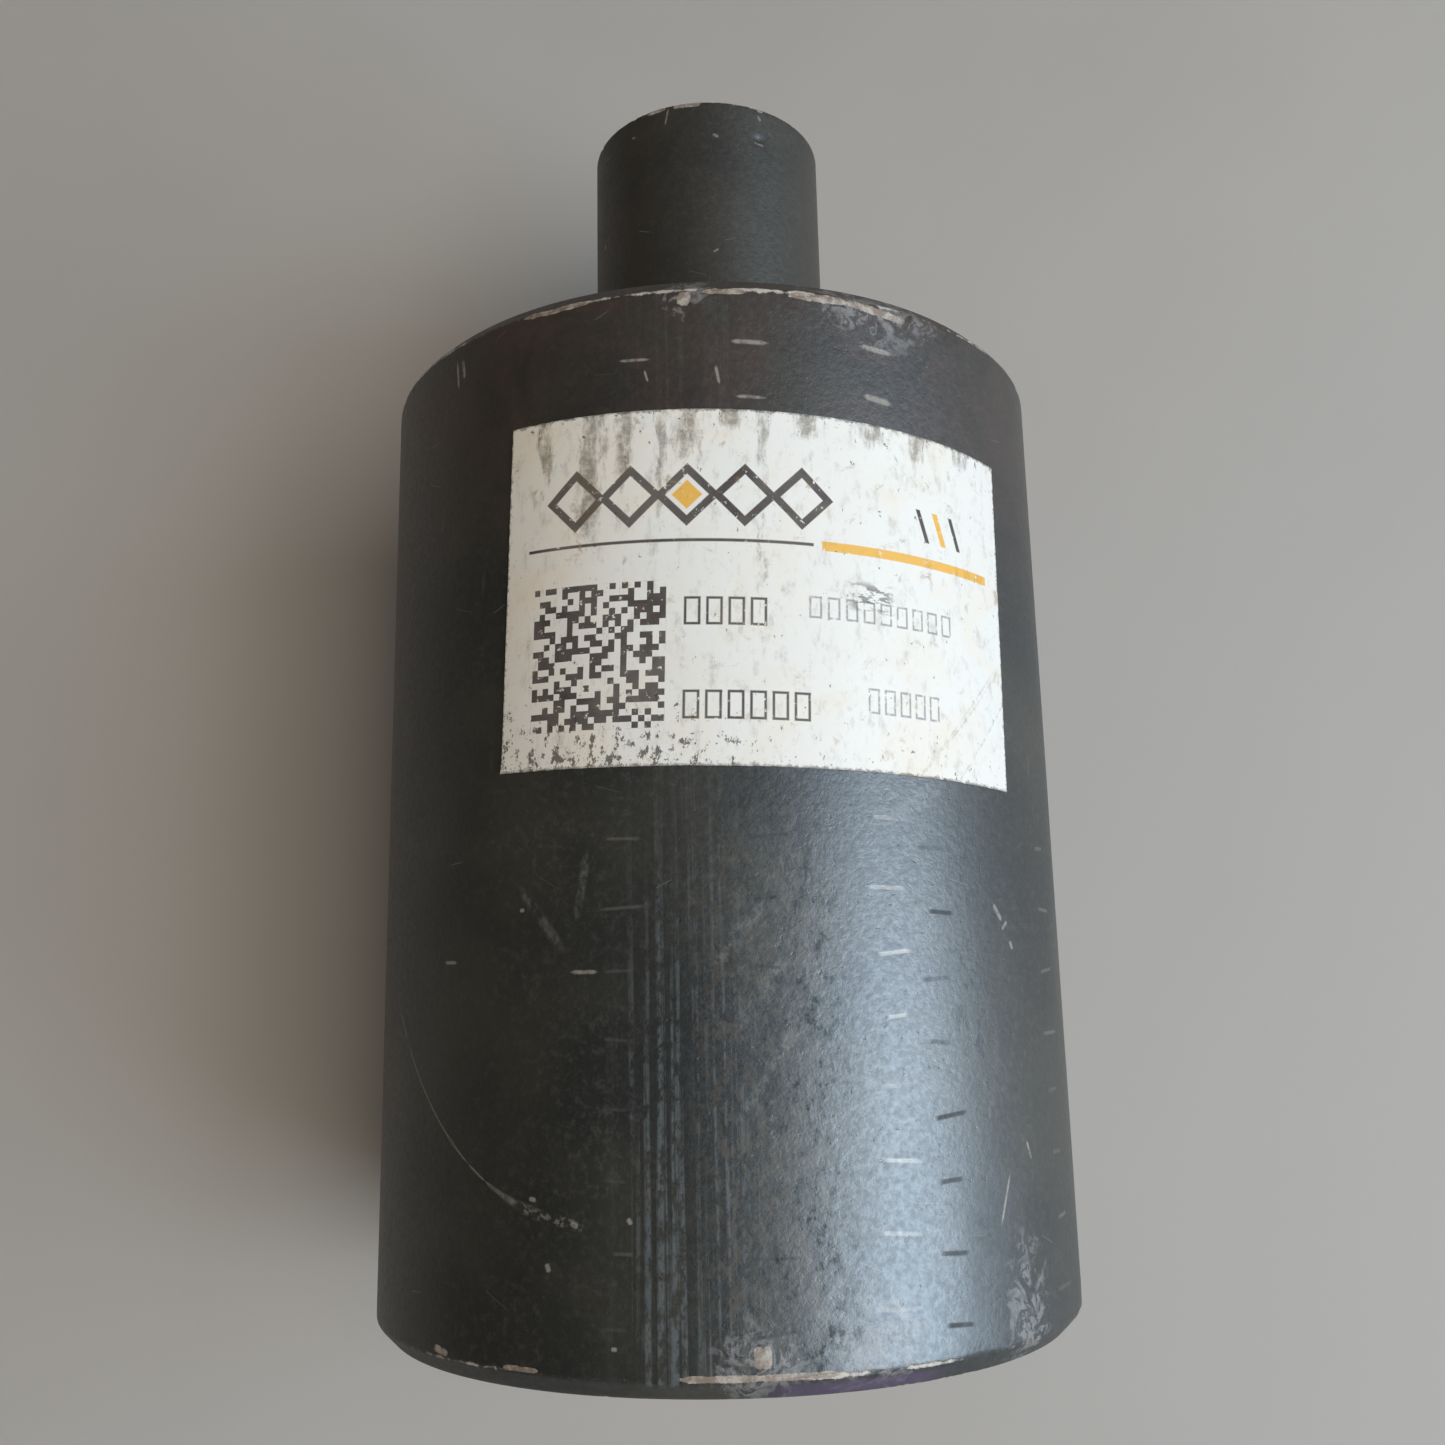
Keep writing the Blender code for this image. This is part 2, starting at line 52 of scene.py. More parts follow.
FLAT = math.cos(math.pi / 36)  # how far out a CAD facet's middle lies, as a share of the radius
TURN = 2 * math.pi
WELD = 1e-6  # metres


def span(node):
    """First depth, last depth and radius of a turned CAD node."""
    low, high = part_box(node)
    return -high.y / MM, -low.y / MM, (high.x - low.x) / 2 / MM / FLAT


# ---------------------------------------------------------------- sizes, from the CAD
SHELL_START, SHELL_END, TREAD_R = span("roller_shell")
SHAFT_END = span("axle_shaft")[1]
COLLAR_START, _, COLLAR_R = span("seal_collar")
COVER_START, COVER_END, COVER_R = span("end_cover")
WASHER_START, WASHER_END, WASHER_R = span("plug_sealing_ring")
FLOOR_Z = -TREAD_R * MM

STUB_R = 15.0
STUB_CHAMFER = 0.4
CHAMFER = 2.0
EDGE = 0.8  # the broken edge of a turned piece
RIM_NEAR = SHELL_START + CHAMFER  # where the tread meets its chamfers
RIM_FAR = SHELL_END - CHAMFER
RIM_R = TREAD_R - CHAMFER

COLLAR_FLANGE = 39.0
COLLAR_POCKET = 44.0
SHOULDER_START = 44.8
SEAL_PLANE = 51.65  # where the two lapped seal rings meet
BEARING_STOP = 64.0
RACE_CIRCLIP = 118.0
COVER_CIRCLIP = 141.6
O_RING_GROOVE = 38.5

SEAT_R = 15.25
SHOULDER_R = 17.8
WEB_R = 20.0
COLLAR_BOSS_R = 22.0
SEAL_SEAT_R = 26.9
SEAL_SEAT_WIDE_R = 27.5
RACE_LIP_R = 27.5
BORE_R = 31.25
LABYRINTH_R = 31.4
COVER_RIM_R = 26.4
COVER_BOSS_R = 12.6
PLUG_HOLE_R = 8.3

LABEL_WIDTH = 58.5
LABEL_HEIGHT = 37.3
LABEL_CENTRE = math.radians(9.2)
LABEL_MID = SHELL_START + 15.5 + LABEL_HEIGHT / 2
LABEL_TURN = 0.030  # radians that the label is askew


# ---------------------------------------------------------------- meshes
def new_object(name, data):
    made = bpy.data.objects.new(name, data)
    bpy.context.scene.collection.objects.link(made)
    return made


def point(depth, radius, angle):
    """A point in metres."""
    return Vector((radius * math.sin(angle), -depth, radius * math.cos(angle))) * MM


def new_piece(name, verts, faces, sharp_deg=35.0):
    """A mesh that is shaded smooth, except over edges sharper than an angle."""
    mesh = bpy.data.meshes.new(name)
    mesh.from_pydata(verts, [], faces)
    mesh.validate()
    mesh.shade_smooth()
    mesh.set_sharp_from_angle(angle=math.radians(sharp_deg))
    return new_object(name, mesh)


def rounded(profile, steps=4):
    """Replaces each (depth, radius, size) corner by a curve that starts and ends size away."""
    made = []
    for i, (depth, radius, *size) in enumerate(profile):
        here = Vector((depth, radius))
        if not size:
            made.append(here)
            continue
        before = Vector(profile[i - 1][:2])
        after = Vector(profile[(i + 1) % len(profile)][:2])
        start = here + (before - here).normalized() * size[0]
        end = here + (after - here).normalized() * size[0]
        for k in range(steps + 1):
            t = k / steps
            made.append(start * (1 - t) ** 2 + here * 2 * t * (1 - t) + end * t**2)
    return made


def divided(points, spacing):
    """Adds points to each segment so that none is longer than spacing(depth, radius) there."""
    made = []
    for i, start in enumerate(points):
        end = points[(i + 1) % len(points)]
        middle = (start + end) / 2
        count = max(1, math.ceil((end - start).length / spacing(*middle)))
        made += [start + (end - start) * k / count for k in range(count)]
    return made


def turned(name, profile, segments, spacing=None, worn=None):
    """A closed profile, turned about the axis. A sharp corner has no size.

    worn(angle, depth, radius) gives the radius of each point of the worn surface.
    """
    points = rounded(profile)
    if spacing:
        points = divided(points, spacing)
    verts, rings = [], []
    for depth, radius in points:
        if radius == 0:
            rings.append([len(verts)] * segments)
            verts.append(point(depth, 0, 0))
            continue
        ring = []
        for k in range(segments):
            angle = TURN * k / segments
            ring.append(len(verts))
            verts.append(point(depth, worn(angle, depth, radius) if worn else radius, angle))
        rings.append(ring)
    faces = []
    for near, far in zip(rings, rings[1:] + rings[:1]):
        for k in range(segments):
            n = (k + 1) % segments
            corners = list(dict.fromkeys([near[k], near[n], far[n], far[k]]))
            if len(corners) > 2:
                faces.append(corners)
    return new_piece(name, verts, faces)


def drift(angle, depth, size, seed):
    """Smooth noise from -1 to 1 on the surface, the same after a whole turn."""
    reach = TREAD_R / size
    place = (math.sin(angle) * reach, depth / size, math.cos(angle) * reach + seed)
    return noise.noise(place)


# ---------------------------------------------------------------- material building
def put(socket, value):
    """Links a socket to a Value or to another socket, or sets it to anything else."""
    value = getattr(value, "socket", value)
    if isinstance(value, bpy.types.NodeSocket):
        socket.id_data.links.new(value, socket)
    elif socket.type == "RGBA":
        socket.default_value = (*value, 1.0)
    else:
        socket.default_value = value


class Value:
    """A number that a node gives. Arithmetic with it adds math nodes to its tree."""

    def __init__(self, tree, socket):
        self.tree = tree
        self.socket = socket

    def __add__(self, other):
        return self.tree.math("ADD", self, other)

    def __radd__(self, other):
        return self.tree.math("ADD", other, self)

    def __sub__(self, other):
        return self.tree.math("SUBTRACT", self, other)

    def __rsub__(self, other):
        return self.tree.math("SUBTRACT", other, self)

    def __mul__(self, other):
        return self.tree.math("MULTIPLY", self, other)

    def __truediv__(self, other):
        return self.tree.math("DIVIDE", self, other)

    def __abs__(self):
        return self.tree.math("ABSOLUTE", self)


class Tree:
    """A node tree, with short calls that add nodes to it and link them."""

    def __init__(self, tree):
        self.tree = tree

    def add(self, kind, given=(), **settings):
        """A new node. given holds what its sockets get, in their order or by name."""
        node = self.tree.nodes.new(kind)
        for key, value in settings.items():
            setattr(node, key, value)
        for key, value in given.items() if isinstance(given, dict) else enumerate(given):
            put(node.inputs[key], value)
        return node

    def number(self, node, output=0):
        return Value(self, node.outputs[output])

    def parts(self, kind, whole):
        """The three numbers of a colour or vector."""
        return [Value(self, part) for part in self.add(kind, [whole]).outputs]

    def math(self, operation, *given):
        return self.number(self.add("ShaderNodeMath", given, operation=operation))

    def highest(self, *values):
        top = values[0]
        for value in values[1:]:
            top = self.math("MAXIMUM", top, value)
        return top

    def ramp(self, value, low, high, at_low=0.0, at_high=1.0):
        """A smooth step of value, from at_low at low to at_high at high."""
        given = (value, low, high, at_low, at_high)
        return self.number(
            self.add("ShaderNodeMapRange", given, interpolation_type="SMOOTHSTEP")
        )

    def inside(self, value, low, high, soft):
        """1 between low and high, falling to 0 over soft at both ends."""
        rise = self.ramp(value, low - soft, low + soft)
        fall = self.ramp(value, high - soft, high + soft, 1.0, 0.0)
        return rise * fall

    def mix(self, share, a, b):
        """Colour a where share is 0, and colour b where it is 1."""
        factor, colour_a, colour_b, result = 0, 6, 7, 2  # the node's sockets for colours
        given = {factor: share, colour_a: a, colour_b: b}
        return self.add("ShaderNodeMix", given, data_type="RGBA").outputs[result]

    def vector(self, x, y):
        """A place in metres, from x and y in millimetres."""
        return self.add("ShaderNodeCombineXYZ", (x * MM, y * MM)).outputs[0]

    def stretch(self, place, factors, shift=0.0):
        """The place times factors, plus a shift of so many millimetres along X and Z."""
        given = {"Vector": place, "Scale": factors, "Location": (shift * MM, 0.0, shift * MM)}
        return self.add("ShaderNodeMapping", given).outputs[0]

    def dice(self, number):
        """Random values, the same for the same number: a colour and a value."""
        node = self.add("ShaderNodeTexWhiteNoise", {"W": number}, noise_dimensions="1D")
        return node.outputs["Color"], self.number(node, "Value")

    def noise(self, place, size, detail=2.0, rough=0.5, distortion=0.0):
        """Noise from about 0 to 1 with features of about size millimetres."""
        given = {
            "Vector": place,
            "Scale": 1 / (size * MM),
            "Detail": detail,
            "Roughness": rough,
            "Distortion": distortion,
        }
        return self.number(self.add("ShaderNodeTexNoise", given), "Fac")

    def group(self, tree, *given):
        """The numbers that a node group works out."""
        node = self.add("ShaderNodeGroup", node_tree=tree)
        for socket, value in zip(node.inputs, given):
            put(socket, value)
        return [Value(self, socket) for socket in node.outputs]


def new_group(name, inputs, outputs):
    """A node group whose sockets are numbers, with what it is given and its results."""
    tree = bpy.data.node_groups.new(name, "ShaderNodeTree")
    for label in inputs:
        tree.interface.new_socket(label, in_out="INPUT", socket_type="NodeSocketFloat")
    for label in outputs:
        tree.interface.new_socket(label, in_out="OUTPUT", socket_type="NodeSocketFloat")
    made = Tree(tree)
    given = made.add("NodeGroupInput").outputs[: len(inputs)]
    result = made.add("NodeGroupOutput").inputs
    return made, [Value(made, socket) for socket in given], result


ROW_STEP = 97.0  # keeps the dice of a row or column of cells apart from the next one's


def mark_group():
    """One scratch or chip: 1 along a short stroke, 0 away from it."""
    t, given, result = new_group(
        "mark",
        ["Around", "Depth", "At around", "At depth", "Half length", "Half width", "Slant"],
        ["Mask"],
    )
    around, depth, at_around, at_depth, long, wide, slant = given
    du = around - at_around
    dv = depth - at_depth
    c, s = t.math("COSINE", slant), t.math("SINE", slant)
    along = abs(du * c + dv * s)
    across = abs(dv * c - du * s)
    ends = t.ramp(along, long * 0.55, long, 1.0, 0.0)
    width = wide * ends
    sides = t.ramp(across, width * 0.3, width + 0.01, 1.0, 0.0)
    put(result[0], sides * ends)
    return t.tree


def dashes_group():
    """Short strokes scattered in a grid of cells round the axis, one at most in each cell."""
    t, given, result = new_group(
        "dashes",
        ["Angle", "Depth", "Radius", "Cells around", "Cell depth", "Phase", "Share",
         "Half length", "Half width", "Jitter", "Slant", "Seed"],
        ["Mask", "Random"],
    )  # fmt: skip
    angle, depth, radius, cells, tall, phase, share, long, wide, jitter, slant, seed = given
    u = (angle / TURN + phase) * cells
    v = depth / tall
    cell_u, cell_v = t.math("FLOOR", u), t.math("FLOOR", v)
    number = t.math("MODULO", cell_u, cells) + cell_v * ROW_STEP + seed
    dice_colour, dice_value = t.dice(number)
    red, green, blue = t.parts("ShaderNodeSeparateColor", dice_colour)
    centred = [roll - 0.5 for roll in (red, green, blue)]
    wide_cell = radius * TURN / cells
    off_u = u - cell_u - 0.5
    off_v = v - cell_v - 0.5
    du = (off_u - centred[0] * jitter) * wide_cell
    dv = (off_v - centred[1] * jitter) * tall - du * (centred[2] * slant)
    length = long * t.ramp(blue, 0.0, 1.0, 0.35, 1.0)
    ends = t.ramp(abs(du), length * 0.5, length, 1.0, 0.0)
    sides = t.ramp(abs(dv), wide * 0.2, wide, 1.0, 0.0)
    shown = t.math("LESS_THAN", dice_value, share)
    put(result[0], ends * sides * shown)
    put(result[1], green)
    return t.tree


def column_group():
    """A column of short tool marks, evenly spaced along the axis, each a little different."""
    t, given, result = new_group(
        "mark_column",
        ["Around", "Depth", "At around", "First depth", "Pitch", "Count", "Half length",
         "Half width", "Seed"],
        ["Mask", "Random"],
    )  # fmt: skip
    around, depth, at, first, pitch, count, long, wide, seed = given
    steps = (depth - first) / pitch
    cell = t.math("FLOOR", steps + 0.5)
    dice_colour, dice_value = t.dice(cell + seed * ROW_STEP)
    rolls = t.parts("ShaderNodeSeparateColor", dice_colour)
    red, green, blue = [roll - 0.5 for roll in rolls]
    du = around - at - red * 1.4
    dv = (steps - cell) * pitch - (green * 0.9 + du * (blue * 0.22))
    length = long * (1.0 + green)
    ends = t.ramp(abs(du), length * 0.6, length, 1.0, 0.0)
    sides = t.ramp(abs(dv), wide * 0.35, wide, 1.0, 0.0)
    counted = t.math("GREATER_THAN", cell, -0.5) * t.math("LESS_THAN", cell, count - 0.5)
    put(result[0], ends * sides * counted)
    put(result[1], dice_value)
    return t.tree


MARK = mark_group()
DASHES = dashes_group()
COLUMN = column_group()


class Look(Tree):
    """A material on a Principled shader, with the place on the object in several forms."""

    def __init__(self, name, slot=None):
        self.material = bpy.data.materials.new(name)
        self.material.use_nodes = True
        self.slot = slot
        super().__init__(self.material.node_tree)
        self.shader = self.tree.nodes["Principled BSDF"]
        self.here = self.add("ShaderNodeTexCoord").outputs["Object"]
        parts = self.parts("ShaderNodeSeparateXYZ", self.here)
        x, y, z = [part * (1 / MM) for part in parts]
        self.angle = self.math("ARCTAN2", x, z)
        self.depth = y * -1.0
        self.radius = self.math("SQRT", x * x + z * z)
        self.colour = None
        self.relief = 0.0
        self.arcs = {}

    def around(self, radius):
        """The arc length round the axis at a radius."""
        if radius not in self.arcs:
            self.arcs[radius] = self.angle * radius
        return self.arcs[radius]

    def mark(self, radius, angle_deg, depth, half_length, half_width, slant_deg):
        centre, slant = math.radians(angle_deg) * radius, math.radians(slant_deg)
        return self.group(
            MARK, self.around(radius), self.depth, centre, depth, half_length, half_width, slant
        )[0]

    def marks(self, radius, table):
        """All the strokes of a table, as one mask."""
        total = 0.0
        for row in table:
            total = self.highest(total, self.mark(radius, *row))
        return total

    def dashes(self, *settings):
        """A dash mask all round, and a random number for each dash."""
        return self.group(DASHES, self.angle, self.depth, *settings)

    def column(self, radius, angle_deg, *settings):
        """A mask of a column of tool marks, and a random number for each mark."""
        centre = math.radians(angle_deg) * radius
        return self.group(COLUMN, self.around(radius), self.depth, centre, *settings)

    def coat(self, share, colour):
        """Covers the colour so far with another: not where share is 0, wholly where it is 1."""
        self.colour = self.mix(share, self.colour, colour)

    def height(self, value, millimetres):
        """Adds a height to the surface's relief: value times millimetres."""
        self.relief = self.relief + value * millimetres

    def done(self, roughness, metallic=0.0, specular=0.5):
        """Gives the shader the colour, the relief and these values."""
        given = {"Strength": 1.0, "Distance": MM, "Height": self.relief}
        bump = self.add("ShaderNodeBump", given)
        for name, value in (
            ("Base Color", self.colour),
            ("Roughness", roughness),
            ("Metallic", metallic),
            ("Specular IOR Level", specular),
            ("IOR", 1.5),
            ("Normal", bump.outputs[0]),
        ):
            put(self.shader.inputs[name], value)
        return self


# ---------------------------------------------------------------- painted steel
BLACK = (0.0175, 0.0175, 0.0145)
BROWN_BLACK = (0.0380, 0.0355, 0.0260)
RUSTY_BLACK = (0.0560, 0.0360, 0.0280)
DUST = (0.105, 0.095, 0.080)
SCUFF = (0.28, 0.275, 0.27)
BARE = (0.56, 0.52, 0.46)
TAN = (0.26, 0.19, 0.14)
# dusty smears with a painted bluish reflection in them
SMEAR_AND_SHEEN = (0.105, 0.118, 0.125)
# a painted reflection: the purple sheen on the far chamfer
PAINTED_PURPLE_SHEEN = (0.085, 0.052, 0.115)
STUB_BROWN = (0.052, 0.043, 0.034)


def paint_base(look, dustiness):
    """Satin black paint: uneven colour, fine dust, a sandy grain and small pits."""
    broad = look.noise(look.here, 22.0, 3.0, 0.55)
    look.colour = look.mix(look.ramp(broad, 0.36, 0.66), BLACK, BROWN_BLACK)
    cloud = look.noise(look.here, 9.0, 6.0, 0.7, 0.6)
    grain = look.noise(look.here, 0.68, 3.0, 0.65)
    speckle = look.noise(look.here, 0.9, 4.0, 0.75)
    dust = look.ramp(cloud, 0.36, 0.72, 0.35, 1.0) * look.ramp(speckle, 0.46, 0.72) * dustiness
    look.coat(dust, DUST)
    pits = look.ramp(look.noise(look.here, 0.8, 3.0, 0.6), 0.24, 0.36, 1.0, 0.0)
    look.coat(pits * 0.7, BLACK)
    look.height(grain, 0.048)
    look.height(pits, -0.020)
    look.height(cloud, 0.004)
    return dust, grain, cloud


def scattered(look, radius, share, seed):
    """Fine random scratches all round, both along and across the axis."""
    across, tone = look.dashes(radius, 41.0, 4.3, 0.0, share, 2.6, 0.08, 0.9, 1.3, seed)
    across = across * look.ramp(tone, 0.2, 0.9, 0.05, 0.35)
    share, seed = share * 0.5, seed + 4.0
    steep, tone = look.dashes(radius, 67.0, 9.0, 0.3, share, 0.8, 1.6, 0.8, 9.0, seed)
    steep = steep * look.ramp(tone, 0.2, 0.9, 0.02, 0.1)
    look.coat(across, SCUFF)
    look.coat(steep, SCUFF)
    look.height(across, -0.012)


def edge_wear(look, edge_depth, edge_radius, least, widest, seed, bright=0.5):
    """Paint rubbed off a turned edge: bare, dusty metal in a line of uneven width.

    least and widest are the line's width where it is narrow and wide; a least below 0 leaves
    gaps. bright, from 0 to 1, turns the line from tan to whitish.
    """
    dd = look.depth - edge_depth
    dr = look.radius - edge_radius
    away = look.math("SQRT", dd * dd + dr * dr)
    broad = look.noise(look.stretch(look.here, (1.0, 0.12, 1.0), seed), 7.0, 4.0, 0.65)
    fine = look.noise(look.here, 0.8, 4.0, 0.7)
    width = look.ramp(broad, 0.38, 0.66, least, widest)
    away = away + fine * 0.8 - 0.4
    worn = look.ramp(away, width - 0.22, width, 1.0, 0.0)
    whitish = look.ramp(broad, 0.4, 0.66) + fine * 0.6 + bright - 0.8
    metal = look.mix(look.ramp(whitish, 0.0, 0.6), TAN, BARE)
    look.height(worn, -0.05)
    look.coat(worn, metal)
    return worn


def chipped(look, marks, grit, low, high):
    """Chips where the marks are, frayed by grit of so many millimetres."""
    ragged = look.noise(look.here, grit, 4.0, 0.7)
    chips = look.ramp(marks + ragged * 1.5, low, high, 0.0, 0.85)
    look.coat(chips, look.mix(look.ramp(ragged, 0.42, 0.70), TAN, BARE))
    return chips


# light scratches and nicks of the tread: angle, depth, half length, half width, slant
LIGHT_MARKS = [
    (-19.2, 109.8, 1.7, 0.26, 1),
    (-43.6, 108.3, 1.2, 0.24, 2),
    (-20.6, 132.8, 0.5, 0.40, 20),
    (-24.6, 136.7, 0.5, 0.35, 70),
    (-12.8, 132.4, 0.4, 0.30, 60),
    (-27.1, 130.7, 0.5, 0.30, 10),
    (-29.2, 103.6, 0.35, 0.25, 0),
    (-15.0, 143.4, 0.35, 0.25, 0),
    (45.5, 104.3, 1.3, 0.34, 50),
    (47.2, 105.6, 0.8, 0.26, -40),
    (48.7, 107.6, 0.6, 0.30, 60),
    (50.3, 128.1, 1.2, 0.26, 66),
    (43.4, 132.4, 3.0, 0.20, 112),
    (-44.6, 43.6, 2.1, 0.24, 84),
    (-43.1, 43.2, 1.4, 0.34, 80),
    (6.0, 46.0, 2.3, 0.34, 2),
    (26.3, 45.3, 2.3, 0.42, 3),
    (6.1, 52.1, 1.9, 0.24, 2),
    (26.2, 51.0, 2.0, 0.50, 6),
    (-11.2, 47.5, 1.9, 0.22, 3),
    (-9.4, 49.4, 0.8, 0.16, 75),
    (1.2, 49.6, 1.3, 0.22, 80),
]
# wide faint wipes: the same values
WIPES = [
    (2.6, 106.5, 4.5, 0.9, 130),
    (5.6, 112.0, 5.0, 1.0, 128),
    (8.4, 117.0, 3.5, 0.8, 132),
    (4.0, 121.5, 3.0, 0.7, 126),
    (30.0, 93.6, 5.0, 1.2, 145),
    (-26.0, 104.5, 5.0, 0.7, 52),
    (-19.5, 101.5, 4.0, 0.6, 100),
    (-171.0, 70.0, 9.0, 0.8, 25),
    (120.0, 96.0, 12.0, 0.7, -20),
    (-110.0, 122.0, 8.0, 0.9, 60),
]
# the columns of tool marks: angle, first depth, count, half length, half width, and how light
# they are, or how dark if below 0; the lightness is partly a painted glint and the darkness is
# painted shade
COLUMNS = [
    (24.0, 95.7, 8, 2.0, 0.30, 0.42),
    (32.4, 98.0, 8, 1.6, 0.32, -0.9),
    (6.0, 97.0, 8, 1.8, 0.26, -0.8),
    (-14.0, 97.3, 8, 2.2, 0.22, 0.10),
    (61.0, 97.0, 8, 1.8, 0.26, 0.16),
    (100.0, 44.0, 16, 1.8, 0.26, 0.25),
    (150.0, 44.6, 16, 2.0, 0.26, 0.25),
    (-172.0, 43.8, 16, 1.8, 0.24, -0.8),
    (-128.0, 44.2, 16, 2.0, 0.26, 0.20),
    (-86.0, 45.0, 16, 1.7, 0.24, -0.7),
]
COLUMN_PITCH = 6.4
# chips at the rims: angle, depth, half length, half width, slant
CHIPS = [
    (4.3, 144.1, 1.1, 1.5, 0),
    (-1.0, 145.8, 5.0, 0.5, 0),
    (9.0, 145.8, 5.0, 0.5, 0),
    (-44.4, 145.3, 1.5, 0.5, 8),
    (-29.0, 145.7, 2.6, 0.4, 0),
    (2.5, 40.3, 3.0, 0.5, 0),
    (-3.6, 41.0, 0.9, 1.2, 15),
    (-24.0, 40.2, 5.0, 0.5, 0),
    (17.0, 40.4, 4.2, 0.7, 0),
    (27.0, 40.8, 5.0, 0.7, 6),
    (112.0, 145.2, 3.0, 0.7, 4),
    (-131.0, 40.6, 3.6, 0.7, 0),
    (150.0, 40.7, 2.5, 0.6, 0),
    (-165.0, 145.4, 4.2, 0.6, 0),
]
# the same for the stub, and for the chips at its end
STUB_MARKS = [
    (-19.0, 1.7, 1.4, 0.16, 102.0),
    (27.0, 5.3, 0.8, 0.28, 8.0),
    (5.0, 5.0, 0.5, 0.30, 30.0),
    (27.5, 1.6, 0.5, 0.25, 60.0),
    (-38.0, 3.0, 0.4, 0.22, 20.0),
    (-63.0, 15.5, 0.5, 0.30, 60.0),
    (4.0, 21.0, 0.5, 0.16, -30.0),
    (140.0, 24.0, 2.4, 0.14, 14.0),
    (-150.0, 12.0, 1.8, 0.16, 70.0),
]
STUB_CHIPS = [
    (-9.0, 0.35, 2.4, 0.75, 0.0),
    (-25.0, 0.35, 1.9, 0.65, 0.0),
    (28.0, 0.35, 0.6, 0.50, 0.0),
    (95.0, 0.35, 3.0, 0.70, 0.0),
    (-160.0, 0.35, 4.0, 0.80, 0.0),
]
# where scuffs gather at the rims: angle, its reach, depth at the rim, reach along the axis
SCUFF_ZONES = [
    (26.0, 17.0, 40.0, 7.0),
    (-3.5, 6.0, 40.0, 4.5),
    (48.0, 9.0, 143.0, 10.0),
    (20.0, 12.0, 144.0, 9.0),
    (4.0, 9.0, 145.0, 6.0),
    (118.0, 24.0, 144.0, 9.0),
    (-140.0, 30.0, 40.5, 8.0),
    (172.0, 16.0, 143.0, 12.0),
]


def curved_scratch(look, around, grain):
    """A long curved scratch: fine and whole at first, then wide and broken."""
    start, end, first_depth = -41.7, -13.5, 113.1  # around, around, depth
    run = around - start
    # depth = first + 1.09 run - 0.0226 run (run - 11), so it flattens as it goes
    bend = run * (run - 11.0) * -0.0226
    line = first_depth + run * 1.09 + bend
    steepness = 1.34 + run * -0.0452
    across = abs(look.depth - line) / look.math("SQRT", 1.0 + steepness * steepness)
    wobble = look.noise(look.here, 1.6, 3.0, 0.6)
    across = across + (wobble - 0.5) * 0.5
    broken = look.ramp(around, -25.0, -19.0)
    width = 0.17 + broken * 0.55
    line = look.ramp(across, width * 0.3, width, 1.0, 0.0)
    crumbs = look.ramp(look.noise(look.here, 0.8, 3.0, 0.7), 0.50, 0.60)
    strength = (1.0 - broken) * look.ramp(wobble, 0.3, 0.6, 0.12, 0.3) + broken * crumbs * 0.22
    return line * strength * look.inside(around, start, end, 0.8)


